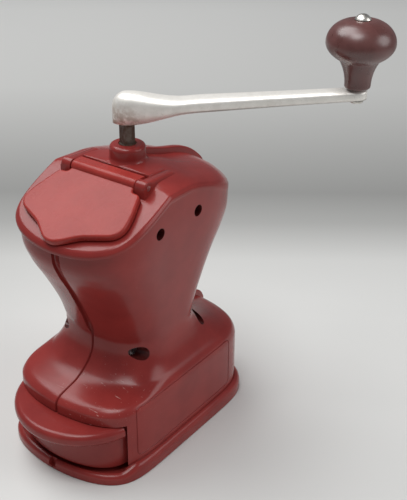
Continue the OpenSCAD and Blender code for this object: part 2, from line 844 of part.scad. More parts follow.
rivet_cap_t = 0.9;
rivet_cap_d = spring_rivet_d + 1.8;
module click_spring_rivet() {
    low = bridge_z - spring_t - rivet_cap_t;
    high = bridge_z + bridge_t;
    color("silver")
        translate([spring_x, 0, 0]) {
            translate([0, 0, low])
                cylinder(h = rivet_cap_t, d = rivet_cap_d);
            translate([0, 0, low])
                cylinder(h = high - low + rivet_cap_t, d = spring_rivet_d);
            translate([0, 0, high])
                cylinder(h = rivet_cap_t, d = rivet_cap_d);
        }
}

// Sections of the crank along its reach, from the boss to the rounded end
arm_steps = 20;
boss_square = 0.65;
arm_square = 0.45;
arm_shares = [0.05, 0.1, 0.16, 0.24, 0.35, 0.5, 0.7, 0.9, 1];
boss_mid = boss_z + boss_h / 2;
boss_up = 0.7;
boss_share = 0.24;
boss_fall = 0.82;

function squared(c, power) = sign(c) * pow(abs(c), power);
function arm_ring(x, mid, half_w, half_t, power = arm_square) = [for (i = [0 : arm_steps - 1])
    let (a = 360 * i / arm_steps)
    [x, half_w * squared(cos(a), power), mid + half_t * squared(sin(a), power)]];

// The arm leaves the boss low, then rises straight to the knob
bend_share = 0.12;
bend_rise = 0.072;
function arm_line(u) = u < bend_share ? u * bend_rise / bend_share :
    bend_rise + (u - bend_share) * (1 - bend_rise) / (1 - bend_share);
function arm_mid(u) = boss_mid + crank_rise * arm_line(u) + boss_up * (1 - smooth(u / boss_share));
function arm_power(u) = boss_square + (arm_square - boss_square) * smooth(u / boss_share);
function arm_half_w(u) = arm_w / 2 + (boss_w - arm_w) / 2 * (1 - smooth(u));
function arm_half_t(u) = arm_t / 2 + (boss_h - arm_t) / 2
    * (1 - boss_fall * smooth(u / boss_share) - (1 - boss_fall) * smooth(u));

// Rounded ends: the domed boss, and the arm beyond the knob
function boss_cap(a) = arm_ring(-boss_w / 2 * sin(a), boss_mid + boss_up,
    boss_w / 2 * cos(a), boss_h / 2 * (0.55 + 0.45 * cos(a)), boss_square);
function arm_cap(a) = arm_ring(crank_r + arm_w / 2 * sin(a), arm_mid(1),
    arm_w / 2 * cos(a), arm_t / 2 * (0.6 + 0.4 * cos(a)));

module crank_arm() {
    rings = concat([for (a = [87, 72, 50, 27]) boss_cap(a)],
        [arm_ring(0, boss_mid + boss_up, boss_w / 2, boss_h / 2, boss_square)],
        [for (u = arm_shares)
            arm_ring(crank_r * u, arm_mid(u), arm_half_w(u), arm_half_t(u), arm_power(u))],
        [for (a = [31, 58, 76, 87]) arm_cap(a)]);
    socket_w = square_w + 2 * run_gap;
    color("lightgray")
        rotate([0, 0, crank_angle])
            difference() {
                loft(rings);
                translate([-boss_w, -boss_w, boss_z - boss_w])
                    cube([2 * boss_w, 2 * boss_w, boss_w]);
                rotate([0, 0, 45])
                    translate([-socket_w / 2, -socket_w / 2, boss_z - 1])
                        cube([socket_w, socket_w, socket_depth + 1]);
                translate([crank_r, 0, arm_mid(1) - arm_t])
                    cylinder(h = 2 * arm_t, d = rivet_d + 2 * run_gap);
                translate([crank_r, 0, arm_mid(1) - 2 * arm_t])
                    cylinder(h = 1.5 * arm_t, d = rivet_d + 2 * swage_out + 2 * run_gap);
            }
}

// Places the pieces of the knob over the end of the crank
module at_knob() {
    rotate([0, 0, crank_angle])
        translate([crank_r, 0, 0])
            children();
}

// Half profile of the knob: flared neck, flattened belly, dome round the rivet head
belly_z = 0.67 * knob_h;
belly_h = 0.34 * knob_h;
belly_power = 1.3;
neck_a = -48;
flare_power = 2.2;
crest_r = rivet_head_d / 2 + 0.2;
function belly(a) = [knob_d / 2 * pow(cos(a), belly_power), belly_z + belly_h * sin(a)];
function dome(a) =
    [crest_r + (knob_d / 2 - crest_r) * cos(a), belly_z + (knob_h - belly_z) * sin(a)];
function flare(s) = let (foot = knob_foot_d / 2, top = belly(neck_a))
    [foot + (top.x - foot) * pow(s, flare_power), 1 + (top.y - 1) * s];

module knob() {
    color("#4f2522")
        at_knob()
            translate([0, 0, knob_z])
                difference() {
                    rotate_extrude()
                        polygon(concat([[0, 0], [knob_foot_d / 2 - 1, 0]],
                            [for (s = [0 : 0.25 : 0.75]) flare(s)],
                            [for (a = [neck_a : 12 : 0]) belly(a)],
                            [for (a = [15 : 15 : 75]) dome(a)],
                            [[crest_r, knob_h], [0, knob_h]]));
                    translate([0, 0, -1])
                        cylinder(h = knob_h + 2, d = rivet_d + 2 * run_gap);
                }
}

swage_t = 1.2;
swage_out = 1;
shoulder_out = 0.9;
module knob_rivet() {
    arm_top = arm_mid(1) + arm_t / 2;
    arm_under = arm_mid(1) - arm_t / 2;
    end_play = knob_lift / 2;
    head_z = knob_z + knob_h + end_play;
    head_r = rivet_head_d / 2;
    dome_r = (pow(head_r, 2) + pow(rivet_head_h, 2)) / (2 * rivet_head_h);
    color("silver")
        at_knob() {
            translate([0, 0, arm_under - swage_t])
                cylinder(h = head_z - arm_under + swage_t + rivet_head_h / 2, d = rivet_d);
            translate([0, 0, arm_under - swage_t])
                cylinder(h = swage_t, d = rivet_d + 2 * swage_out);
            translate([0, 0, arm_top])
                cylinder(h = knob_z - end_play - arm_top, d = rivet_d + 2 * shoulder_out);
            translate([0, 0, head_z])
                intersection() {
                    translate([0, 0, rivet_head_h - dome_r])
                        sphere(r = dome_r);
                    cylinder(h = rivet_head_h + 1, r = head_r + 1);
                }
        }
}

// Places a fastener on one of the clamping axes, its own axis along +X
module on_axis(s) {
    translate([0, s.x, s.y])
        rotate([0, 90, 0])
            children();
}

slot_w = 0.9;
slot_d = 1;
module body_screws() {
    color("dimgray")
        for (s = screws)
            on_axis(s)
                difference() {
                    union() {
                        translate([0, 0, -s.z / 2 - screw_head_h])
                            cylinder(h = s.z + screw_head_h, d = screw_d);
                        translate([0, 0, s.z / 2])
                            cylinder(h = screw_head_h, d = screw_head_d);
                    }
                    translate([-screw_head_d, -slot_w / 2, s.z / 2 + screw_head_h - slot_d])
                        cube([2 * screw_head_d, slot_w, 2 * slot_d]);
                }
}

nut_d = screw_head_d + 2 * seat_gap;
module body_nuts() {
    color("dimgray")
        for (s = screws)
            on_axis(s)
                translate([0, 0, -s.z / 2 - screw_head_h])
                    difference() {
                        cylinder(h = screw_head_h, d = nut_d, $fn = 6);
                        translate([0, 0, -1])
                            cylinder(h = screw_head_h + 2, d = screw_d + 2 * run_gap);
                    }
}

body_left();
body_right();
lid();
lid_hinge_pin();
drawer();
upper_bush();
drive_shaft();
inner_burr();
burr_pin();
burr_ring();
bearing_bridge();
adjusting_screw();
thrust_ball();
click_spring();
click_spring_rivet();
crank_arm();
knob();
knob_rivet();
body_screws();
body_nuts();
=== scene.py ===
"""Hand-cranked coffee grinder in a moulded two-part housing, standing on a pale studio floor."""

import bpy
import numpy as np
from mathutils import Matrix


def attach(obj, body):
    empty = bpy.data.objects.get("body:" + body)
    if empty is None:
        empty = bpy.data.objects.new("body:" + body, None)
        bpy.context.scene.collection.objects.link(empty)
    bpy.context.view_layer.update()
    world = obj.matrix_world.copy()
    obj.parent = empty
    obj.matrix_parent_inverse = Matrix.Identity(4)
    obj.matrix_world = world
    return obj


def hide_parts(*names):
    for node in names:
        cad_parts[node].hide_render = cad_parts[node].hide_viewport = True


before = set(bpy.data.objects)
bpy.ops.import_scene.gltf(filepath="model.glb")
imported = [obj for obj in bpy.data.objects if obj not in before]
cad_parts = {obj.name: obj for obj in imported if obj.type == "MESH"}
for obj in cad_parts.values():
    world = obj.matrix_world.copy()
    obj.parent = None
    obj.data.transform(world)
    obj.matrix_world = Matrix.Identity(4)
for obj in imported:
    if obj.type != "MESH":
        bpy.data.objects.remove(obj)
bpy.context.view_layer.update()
scene = bpy.context.scene
scene.view_settings.view_transform = "Standard"


# Studio: a pale paper floor with painted shade in a band behind the grinder and on its left, one large round
# lamp overhead on the left, weaker ones from the right and from above the drawer, and an even grey surround.
# The camera looks down on the grinder from the right of its drawer.
camera_place = (0.312545, -0.360773, 0.368375)
camera_turn, camera_tilt, camera_roll = np.radians([35.95, 28.60, 0.39])
camera_lens = 68.47


def aimed(name, kind, place, *axes):
    """Puts a camera or lamp into the scene at a place, with its x, y and z axes."""
    world = np.eye(4)
    world[:3] = np.stack([*axes, place], axis=1)
    holder = bpy.data.objects.new(name, kind)
    holder.matrix_world = Matrix(world.tolist())
    scene.collection.objects.link(holder)
    return holder


across = np.array([np.cos(camera_turn), np.sin(camera_turn), 0])
backward = np.array([np.sin(camera_turn) * np.cos(camera_tilt),
                     -np.cos(camera_turn) * np.cos(camera_tilt), np.sin(camera_tilt)])
upward = np.cross(backward, across)
camera = aimed("camera", bpy.data.cameras.new("camera"), camera_place,
               np.cos(camera_roll) * across + np.sin(camera_roll) * upward,
               np.cos(camera_roll) * upward - np.sin(camera_roll) * across, backward)
camera.data.lens = camera_lens
camera.data.clip_start = 0.01
scene.camera = camera

lamp_aim = np.array([0, 0, 0.1])


def soft_lamp(name, place, width, watts):
    """A round lamp whose -Z axis points from its place to the lamps' aim."""
    lamp = bpy.data.lights.new(name, "AREA")
    lamp.shape = "DISK"
    lamp.size = width
    lamp.energy = watts
    away = np.array(place, float) - lamp_aim
    away /= np.linalg.norm(away)
    side = np.cross([0.0, 1.0, 0.0], away)
    side /= np.linalg.norm(side)
    aimed(name, lamp, place, side, np.cross(away, side), away)


soft_lamp("lamp_left", (-0.58, 0.0, 1.25), 1.0, 11.2)
soft_lamp("lamp_right", (1.1, 0.5, 0.75), 0.9, 5.2)
soft_lamp("lamp_front", (0.06, -0.42, 1.30), 0.6, 6.2)
surround = bpy.data.worlds.new("surround")
surround.use_nodes = True
surround.node_tree.nodes["Background"].inputs["Color"].default_value = (0.93, 0.95, 1.0, 1)
surround.node_tree.nodes["Background"].inputs["Strength"].default_value = 0.19
scene.world = surround


class Shade:
    """A value on its way through a material. Operators add Math nodes, and make adds any other node."""

    def __init__(self, tree, socket=None):
        self.tree = tree
        self.socket = socket

    def make(self, kind, sockets, settings=None, out=0):
        """One node: its settings first, a ramp's stops among them, then the values or links of its sockets."""
        node = self.tree.nodes.new(kind)
        for name, value in (settings or {}).items():
            if name == "stops":
                ramp = node.color_ramp.elements
                ramp[0].position, ramp[-1].position = value[0][0], value[-1][0]
                for place, _ in value[1:-1]:
                    ramp.new(place)
                for element, (place, colour) in zip(ramp, value):
                    element.color = (*colour, 1)
            else:
                setattr(node, name, value)
        for name, value in sockets.items():
            if isinstance(value, Shade):
                self.tree.links.new(value.socket, node.inputs[name])
            else:
                node.inputs[name].default_value = value
        return Shade(self.tree, node.outputs[out])

    def math(self, operation, one, two):
        """One Math node on two values."""
        return self.make("ShaderNodeMath", {0: one, 1: two}, {"operation": operation})

    def __add__(self, other):
        return self.math("ADD", self, other)

    __radd__ = __add__

    def __sub__(self, other):
        return self.math("SUBTRACT", self, other)

    def __rsub__(self, other):
        return self.math("SUBTRACT", other, self)

    def __mul__(self, other):
        return self.math("MULTIPLY", self, other)

    __rmul__ = __mul__


def finish_of(name, **plain):
    """A material with one Principled shader, its even sockets set directly, and its Object coordinates."""
    material = bpy.data.materials.new(name)
    material.use_nodes = True
    shader = material.node_tree.nodes["Principled BSDF"]
    for socket, value in plain.items():
        shader.inputs[socket.replace("_", " ")].default_value = value
    place = Shade(material.node_tree).make("ShaderNodeTexCoord", {}, out="Object")
    return material, shader, place


def feed(shader, **values):
    """Links values that change over the surface to the shader's sockets."""
    for socket, value in values.items():
        value.tree.links.new(value.socket, shader.inputs[socket.replace("_", " ")])


def clouds(place, grain, detail=3.0, rough=0.55, stretch=None):
    """Noise whose grains are about that many millimetres across, from 0 to 1, longer along stretched axes."""
    if stretch:
        place = place.make("ShaderNodeMapping", {"Vector": place, "Scale": stretch})
    return place.make("ShaderNodeTexNoise", {"Vector": place, "Scale": 1000 / grain, "Detail": detail,
                                             "Roughness": rough}, out="Fac")


def between(value, low, high):
    """A smooth step from 0 at low to 1 at high."""
    return value.make("ShaderNodeMapRange", {"Value": value, "From Min": low, "From Max": high},
                      {"interpolation_type": "SMOOTHSTEP"}, out="Result")


def tinted(share, one, two):
    """A colour that goes from one to two as the share goes from 0 to 1."""
    return share.make("ShaderNodeMix", {0: share, 6: one, 7: two}, {"data_type": "RGBA"}, out=2)


def dented(height, depth, strength=1.0):
    """Surface normals for a height from 0 to 1, that many millimetres deep."""
    return height.make("ShaderNodeBump", {"Height": height, "Distance": depth / 1000, "Strength": strength})


def reach_along(place, way):
    """How far a place lies along a direction from the origin, in metres."""
    return place.make("ShaderNodeVectorMath", {0: place, 1: way}, {"operation": "DOT_PRODUCT"}, out="Value")


paper_back, paper_left, paper_shade_grey = (-0.587, 0.810, 0), (-0.810, -0.587, 0), (0.30, 0.30, 0.291)
paper, paper_shader, paper_at = finish_of("floor_paper", Roughness=0.85, Specular_IOR_Level=0.2)
paper_depth, paper_side = reach_along(paper_at, paper_back), reach_along(paper_at, paper_left)
# Painted shade: the floor is darkest in a grey band behind the grinder, and paler in front of it and far
# behind.
paper_shade_ramp = paper_depth.make("ShaderNodeValToRGB", {"Fac": paper_depth}, {"stops": [
    (0.10, (0.69, 0.69, 0.672)), (0.185, (0.62, 0.62, 0.603)), (0.25, (0.40, 0.40, 0.388)),
    (0.31, paper_shade_grey), (0.42, (0.41, 0.41, 0.398)), (0.60, (0.60, 0.60, 0.583)),
    (0.95, (0.80, 0.80, 0.778))]}, out="Color")
# Painted shade: to the grinder's left, short of the far band, the floor darkens towards that grey.
paper_side_shade = between(paper_side, 0.02, 0.28) * between(paper_depth, 0.45, 0.25)
feed(paper_shader, Base_Color=tinted(paper_side_shade * 0.45, paper_shade_ramp, (*paper_shade_grey, 1)))


def meshed(name, points, faces):
    """An object at the origin with a mesh of points in millimetres."""
    mesh = bpy.data.meshes.new(name)
    mesh.from_pydata((points / 1000).tolist(), [], faces)
    piece = bpy.data.objects.new(name, mesh)
    scene.collection.objects.link(piece)
    return piece


def coated(piece, material):
    """Gives a piece one finish all over."""
    piece.data.materials.clear()
    piece.data.materials.append(material)


floor_half = 4000.0
floor_corners = np.array([[-1, -1, 0], [1, -1, 0], [1, 1, 0], [-1, 1, 0]])
floor = meshed("floor", floor_half * floor_corners, [(0, 1, 2, 3)])
coated(floor, paper)


# Housing: two halves of a red-brown phenolic moulding that meet on the front-to-back seam, each pressed
# hollow with its half of the plinth, the waist, the hopper, the hinge ears and the collar. Four screws
# across the seam clamp them. A groove follows the seam down the front and a rib over the back.
base_w, base_front, base_back, base_h = 87.0, 68.6, 65.5, 50.0
plinth_h, plinth_out, plinth_front, floor_t = 9.5, 3.0, 6.0, 6.0
wall, bay_h = 4.0, 30.0
waist_z, waist_w, waist_front, waist_back = 70.0, 66.0, 35.6, 26.0
hopper_w, hopper_front, hopper_back, top_z = 81.2, 60.2, 65.0, 160.0
rim_drop, back_drop, crown, back_crown, rim_out, rim_t = 21.6, 19.0, 6.2, 5.5, 3.2, 4.5
rib_w, groove_w, groove_front, rib_back = 1.8, 2.6, 2.4, 3.6
collar_r, collar_h, collar_round = 10.0, 8.2, 2.6
hinge_y, hinge_up, barrel_r, barrel_w = 18.5, 2.2, 3.3, 44.2
ear_x, ear_w, ear_r, ear_sunk, pin_bore_r = 22.5, 6.8, 3.6, 9.0, 1.55
side_square, base_square, rim_square = 1.8, (8.0, 6.5), (7.0, 4.0)  # at the sides, and in front and behind

bay_top = floor_t + bay_h
brow_y = hinge_y - 3.5
rim_front = hopper_front + rim_out
lid_slope = rim_drop / (rim_front - brow_y)
lid_tilt = np.arctan(lid_slope)
hinge_z = top_z + hinge_up
crown_z = top_z + crown
collar_z = crown_z + collar_h
hinge_at = (0, -hinge_y, hinge_z)
past_seam = -1.0


def smooth(t):
    """The smooth step 3t^2 - 2t^3 on t held to 0..1."""
    t = np.clip(t, 0, 1)
    return t * t * (3 - 2 * t)


def edge_z(y):
    """Height of the hopper's top edge: a slope under the lid, level at the peak, a cosine fall behind."""
    fall = back_drop * (1 - np.cos(np.pi * np.clip(y / hopper_back, 0, 1))) / 2
    return top_z + lid_slope * np.minimum(y + brow_y, 0) - fall


def crown_h(y):
    """Rise of the top's middle over its edges: a step behind the hinge and a second one towards the back."""
    return crown * smooth((y + hinge_y + 1.5) / 12) + back_crown * smooth((y - 20) / 35)


def eased(knots, values, at):
    """Monotone cubic through knots: the slope at a knot is the harmonic mean of the chords beside it, or 0
    where they turn, so that the curve never overshoots."""
    step = np.diff(knots)[:, None]
    chord = np.diff(values, axis=0) / step
    both = chord[:-1] * chord[1:]
    inner = np.where(both > 0, 2 * both / (chord[:-1] + chord[1:] + (both <= 0)), 0)
    slope = np.vstack([chord[:1], inner, chord[-1:]])
    i = np.clip(np.searchsorted(knots, at, "right") - 1, 0, len(knots) - 2)
    t = (at - knots[i])[:, None] / step[i]
    return (values[i] * (2 * t ** 3 - 3 * t ** 2 + 1) + slope[i] * step[i] * (t ** 3 - 2 * t ** 2 + t)
            + values[i + 1] * (3 * t ** 2 - 2 * t ** 3) + slope[i + 1] * step[i] * (t ** 3 - t ** 2))


def half_plan(half_w, front, back, end_f, end_b, steps, gather=2.4, side_f=side_square):
    """Half a plan section for an angle a from -90 (front middle) to 90 degrees (back middle):
    x = w |cos a|^(2/side), y = -front |sin a|^(2/end_f) or back |sin a|^(2/end_b), where side is side_f in
    front and side_square behind. The angles gather at the side by a power. Sizes may be columns."""
    u = np.linspace(-1, 1, steps)
    a = np.pi / 2 * np.sign(u) * np.abs(u) ** gather
    x = half_w * np.abs(np.cos(a)) ** (2 / np.where(a < 0, side_f, side_square))
    reach = np.abs(np.sin(a))
    return x, np.where(a < 0, -front * reach ** (2 / end_f), back * reach ** (2 / end_b))


def mirrored(half):
    """Half an outline, from middle to middle, and its mirror image, as one closed outline."""
    return np.vstack([half, half[-2:0:-1] * [-1, 1]])


def solid(name, rings, low=None, high=None):
    """A closed piece through rings of points in millimetres: quads from ring to ring, and at each end a flat
    face or a fan to a tip. Seen against the way the rings follow each other, each turns anticlockwise."""
    rings = np.asarray(rings, float)
    count, around = rings.shape[:2]
    index = np.arange(count * around).reshape(count, around)
    after = np.roll(index, -1, axis=1)
    faces = np.stack([index[:-1], after[:-1], after[1:], index[1:]], axis=-1).reshape(-1, 4).tolist()
    points = rings.reshape(-1, 3)
    for tip, ring in ((low, index[0][::-1]), (high, index[-1])):
        if tip is None:
            faces.append(ring.tolist())
        else:
            faces += np.stack([ring, np.roll(ring, -1), np.full(around, len(points))], axis=-1).tolist()
            points = np.vstack([points, tip])
    return meshed(name, points, faces)


def rod(name, axis, place, stations, around=64):
    """A turned piece about an axis through place: circles at [distance along the axis, radius]."""
    along, radius = np.asarray(stations, float).T[..., None]
    t = np.linspace(0, 2 * np.pi, around, endpoint=False)
    own = np.stack([radius * np.cos(t), radius * np.sin(t), np.broadcast_to(along, (len(along), around))], -1)
    return solid(name, np.roll(own, "zxy".index(axis), axis=-1) + place)


def upright(name, plan, low, high):
    """A plan outline carried straight up from one height to another."""
    plan = np.asarray(plan, float)
    return solid(name, [np.column_stack([plan, np.full(len(plan), z)]) for z in (low, high)])


def block(name, low, high):
    """A plain block between two corners."""
    (x0, y0, z0), (x1, y1, z1) = low, high
    return upright(name, [(x0, y0), (x1, y0), (x1, y1), (x0, y1)], z0, z1)


cut, join = "DIFFERENCE", "UNION"


def carved(piece, *steps):
    """Joins and cuts a solid with others, one after the other, and keeps the result as its own mesh."""
    for operation, tool in steps:
        step = piece.modifiers.new(operation, "BOOLEAN")
        step.operation, step.solver, step.object = operation, "MANIFOLD", tool
    shaped = piece.evaluated_get(bpy.context.evaluated_depsgraph_get())
    mesh = bpy.data.meshes.new_from_object(shaped)
    piece.modifiers.clear()
    piece.data = mesh
    for _, tool in steps:
        bpy.data.objects.remove(tool)
    return piece


def rounded_off(piece, angle=34):
    """Smooth shading that stays crisp at edges sharper than the angle in degrees."""
    piece.data.shade_smooth()
    piece.data.set_sharp_from_angle(angle=np.radians(angle))
    return piece


plinth_half, plinth_f, plinth_b = base_w / 2 + plinth_out, base_front + plinth_front, base_back + plinth_out
wide = base_w / 2
plinth_bead = [  # height, and how far the outline lies in
    [0, 0.4], [0.5, 0], [plinth_h - 4.4, 0], [plinth_h - 2.6, 0.25], [plinth_h - 1.2, 0.95],
    [plinth_h - 0.4, 1.9], [plinth_h - 0.1, 2.7]]
shoulder = [  # how far below the base's top, how far in at the side, in front and behind, and how square
    [base_h - plinth_h, 0, 0, 0, *base_square], [8.6, 0, 0.8, 0, *base_square],
    [6.4, 0.4, 2.4, 0.3, *base_square], [4.6, 1, 5.4, 0.9, *base_square],
    [3.2, 1.7, 11, 1.6, 7, base_square[1]], [1.6, 2.6, 17.8, 2.8, 6, 6]]
neck_in, neck_in_f, neck_in_b = 3.9, 21.4, 5.0
edge_drop = 0.7

# Each row: height, share of the top's warp, half width, front, back, squareness in front and behind.
plinth_rows = [[z, 0, plinth_half - d, plinth_f - d, plinth_b - d, *base_square]
               for z, d in plinth_bead]
base_rows = [[base_h - down, 0, wide - side, base_front - fore, base_back - aft, square_f, square_b]
             for down, side, fore, aft, square_f, square_b in shoulder]
u = np.array([0.02, 0.1, 0.22, 0.36, 0.52, 0.72, 1])
neck_rows = np.column_stack([
    base_h + (waist_z - base_h) * u, 0 * u,
    waist_w / 2 + (wide - neck_in - waist_w / 2) * (1 - u) ** 1.9,
    waist_front + (base_front - neck_in_f - waist_front) * (1 - u) ** 2.9,
    waist_back + (base_back - neck_in_b - waist_back) * (1 - u) ** 1.45, 5 + 0 * u, 5 - u])
u = np.array([0.06, 0.15, 0.3, 0.5, 0.7, 0.86, 1])
v = np.array([0.05, 0.14, 0.32, 0.57, 0.83, 0.97, 1])
hopper_rows = np.column_stack([
    waist_z + (top_z - rim_t - waist_z) * u, u, waist_w / 2 + (hopper_w - waist_w) / 2 * v,
    waist_front + (hopper_front - waist_front) * v, waist_back + (hopper_back - waist_back) * v,
    5 + v, rim_square[1] + 0 * v])
rim_rows = [[z, 1, hopper_w / 2 + side, rim_front - fore, hopper_back + aft, *rim_square]
            for z, side, fore, aft in (
                (top_z - rim_t + 0.2, 0.6, 0.9, 0.3), (top_z - rim_t + 0.7, 0.9, 0.2, 0.3),
                (top_z - rim_t / 2, 1.1, 0, 0.3), (top_z - edge_drop, 0.2, 0.8, -1))]
stations = np.vstack([plinth_rows, base_rows, neck_rows, hopper_rows, rim_rows])
spread = np.linalg.norm(np.diff(stations[:, [0, 2, 3, 4]], axis=0) * [1, 0.6, 0.6, 0.6], axis=1)
knots = np.concatenate([[0], np.cumsum(spread)])
steps_between = np.clip(np.ceil(spread / 1.5), 4, 16).astype(int)
at = np.concatenate([np.linspace(a, b, n, endpoint=False)
                     for a, b, n in zip(knots[:-1], knots[1:], steps_between)] + [knots[-1:]])
rows = eased(knots, stations, at)
row_z, row_warp, row_w, row_f, row_b, row_ef, row_eb = rows.T


def seam_closed(x, y, z):
    """Rings of a half, run past the seam so that the cut there is clean."""
    x = np.pad(x, ((0, 0), (1, 1)), constant_values=past_seam)
    y, z = np.pad(y, ((0, 0), (1, 1)), "edge"), np.pad(z, ((0, 0), (1, 1)), "edge")
    return np.stack([x, y, z], axis=-1)


plan_steps = 171
column = (slice(None), None)
fuller, fuller_from, fuller_run, fuller_end = 0.8, waist_z + 12, 45.0, 0.6
row_side = side_square + (fuller * smooth((row_z - fuller_from) / fuller_run)
                          * (1 - smooth((row_z - top_z + rim_t + fuller_end) / fuller_end)))
wall_x, wall_y = half_plan(row_w[column], row_f[column], row_b[column], row_ef[column], row_eb[column],
                           plan_steps, side_f=row_side[column])

# The rim stands out round the lid and fades into the hopper's wall towards the back.
bead_from, bead_run = -32.0, 45.0
bead_fade = smooth((wall_y - bead_from) / bead_run) * (row_z > top_z - rim_t)[column]
past_side = bead_fade * np.clip(row_w - hopper_w / 2, 0, None)[column]
past_back = bead_fade * np.clip(row_b - hopper_back, 0, None)[column]
rim_share = np.clip((row_z - top_z + rim_t) / (rim_t - edge_drop), 0, 1)[column] ** 2


def soft_edge(y, most=1.6):
    """How far the edge between side and top is rounded down: most beside the collar, not at all in front and
    at the back, where the top curves down to it by itself. Two smooth steps along y give its ends."""
    return most * smooth((y + 25) / 40) * (1 - smooth((y - 15) / 30))


pulled_in = 0.5 * soft_edge(wall_y) * rim_share
wall_x = wall_x * (1 - (past_side + pulled_in) / row_w[column])
wall_y = np.where(wall_y > 0, wall_y * (1 - (past_back + pulled_in) / row_b[column]), wall_y)


def plinth_dip(y, most=0.33):
    """Share of its height by which the plinth is lower in front, below the drawer: a smooth step along y."""
    return most * smooth((-y - 49) / 12)


dip = plinth_dip(wall_y) * (1 - smooth((row_z[column] - plinth_h) / 15))
wall_z = (row_z[column] - dip * np.minimum(row_z, plinth_h)[column]
          + row_warp[column] * (edge_z(wall_y) - top_z) - soft_edge(wall_y) * rim_share)

# The roof's rings shrink to the spindle. It is a dome beside the collar and flat with full edges behind.
share = np.concatenate([np.linspace(1, 0.972, 8)[1:], np.linspace(0.96, 0.06, 52)])[column]
cap_x, cap_y = share * wall_x[-1], share * wall_y[-1]
roof_power = 1.8 + 4.2 * smooth((cap_y - 12) / 30)
cap_z = (edge_z(cap_y) + crown_h(cap_y) * (1 - share ** roof_power)
         - edge_drop * np.clip((share - 0.975) / 0.025, 0, 1) ** 2
         - soft_edge(cap_y) * np.clip((share - 0.84) / 0.16, 0, 1) ** 2)
skin_rings = np.vstack([seam_closed(wall_x, wall_y, wall_z), seam_closed(cap_x, cap_y, cap_z)])
body_right = solid("housing_right", skin_rings, high=[past_seam, 0, crown_z])


def run_along(points):
    """The distance along a line of points, from its first one to each."""
    return np.concatenate([[0], np.cumsum(np.linalg.norm(np.diff(points, axis=0), axis=1))])


def seam_path(y, z, reach=9, step=0.5):
    """A line in the seam plane, evened out to equal steps and rounded over the given number of them."""
    run = run_along(np.stack([y, z], -1))
    even = np.linspace(0, run[-1], int(run[-1] / step))
    line = np.stack([np.interp(even, run, y), np.interp(even, run, z)])
    weights = np.hanning(reach + 2)[1:-1] / np.hanning(reach + 2)[1:-1].sum()
    padded = np.pad(line, ((0, 0), (reach // 2, reach // 2)), "reflect", reflect_type="odd")
    return np.stack([np.convolve(padded[0], weights, "valid"), np.convolve(padded[1], weights, "valid")])


def along_seam(name, line, section):
    """A section of [x, height] points, the same or one set per point of the line, carried along it: the
    height is set off along the line's normal (dz, -dy)."""
    way = np.gradient(line, axis=1)
    way /= np.linalg.norm(way, axis=0)
    x, height = np.moveaxis(np.broadcast_to(section, (line.shape[1], *np.shape(section)[-2:])), -1, 0)
    y = line[0][column] + height * way[1][column]
    z = line[1][column] - height * way[0][column]
    return solid(name, np.stack([x, y, z], axis=-1))


def rounding(steps):
    """A quarter circle of radius 1 from its first tangent to its second, as the distances 1 - cos a and
    1 - sin a from them."""
    a = np.linspace(0, np.pi / 2, steps)
    return np.stack([1 - np.cos(a), 1 - np.sin(a)])


front_y, front_z = wall_y[:, 0], wall_z[:, 0]
back_y, back_z = wall_y[:, -1], wall_z[:, -1]

on_hopper = (row_z > waist_z - 2) & (row_z < top_z - rim_t - 0.2)
groove_line = seam_path(front_y[on_hopper][::-1], front_z[on_hopper][::-1])
groove_fade = smooth((groove_line[1] - waist_z + 3) / 11)
line_depth, line_half, parting_depth = 0.3, 0.25, 0.5
groove_depth = line_depth + (groove_front - line_depth) * groove_fade
groove_half = line_half + (groove_w - line_half) * groove_fade
groove_floor = groove_depth + parting_depth * groove_fade
groove_section = [(0.02 + 0.1 * groove_fade, -groove_floor), (0.05 + 0.33 * groove_fade, -groove_depth),
                  (groove_half * 0.8, -groove_depth), (groove_half, -groove_depth * 0.75),
                  (groove_half + 0.25 * groove_fade, 0.5), (past_seam, 0.5), (past_seam, -groove_floor)]
seam_groove = along_seam("seam_groove", groove_line, np.stack([
    np.stack(np.broadcast_arrays(x, height, groove_fade)[:2], -1) for x, height in groove_section], axis=1))

fine_section = [[0.3, -1.1], [0.6, -0.35], [1.15, 0.25], [past_seam, 0.25], [past_seam, -1.1]]
on_base = (row_z > plinth_h + 1) & (row_z < waist_z + 3)
seam_line_front = along_seam(
    "seam_line_front", seam_path(front_y[on_base][::-1], front_z[on_base][::-1]), fine_section)
rib_start = 37.0
on_foot = (row_z > plinth_h + 1) & (row_z < rib_start + 1)
seam_line_back = along_seam("seam_line_back", seam_path(back_y[on_foot], back_z[on_foot]), fine_section)

on_back = (row_z > rib_start) & (row_z < top_z - rim_t)
over_y, over_z = cap_y[:, -1], cap_z[:, -1]
on_roof = over_y > collar_r - 3
rib_line = seam_path(np.concatenate([back_y[on_back], over_y[on_roof]]),
                     np.concatenate([back_z[on_back], over_z[on_roof]]), 7)
rib_h = rib_back * smooth((rib_line[1] - rib_start) / 8)
rib_round, rib_sunk = 0.9, -1.6
far, near = rounding(6)
rib_x = np.concatenate([[rib_w + 0.5], rib_w + 0.1 - rib_round * far, [past_seam, past_seam]])
rib_level = np.concatenate([rib_h[column] - rib_round * near, rib_h[column]], axis=1)
rib_level = np.pad(rib_level, ((0, 0), (1, 1)), constant_values=rib_sunk)
seam_rib = along_seam("seam_rib", rib_line, np.stack(np.broadcast_arrays(rib_x, rib_level), -1))

hollow_r, hollow_low, hollow_high = 14.5, 80.55, top_z - rim_t - wall
u = np.linspace(0, 1, 28)
v = np.interp(u, [0, 0.12, 0.3, 0.5, 0.72, 1], [0, 0.16, 0.42, 0.68, 0.9, 1])[column]
hollow_x, hollow_y = half_plan(hollow_r + (hopper_w / 2 - wall - hollow_r) * v,
                               hollow_r + (hopper_front - wall - hollow_r) * v,
                               hollow_r + (hopper_back - wall - 3 - hollow_r) * v, 2 + 4 * v, 2 + 2 * v, 81)
hollow_z = hollow_low + (hollow_high - hollow_low + edge_z(hollow_y) - top_z) * u[column]
hollow = solid("hopper_hollow", seam_closed(hollow_x, hollow_y, hollow_z),
               high=[past_seam, 0, hollow_high + 0.01])

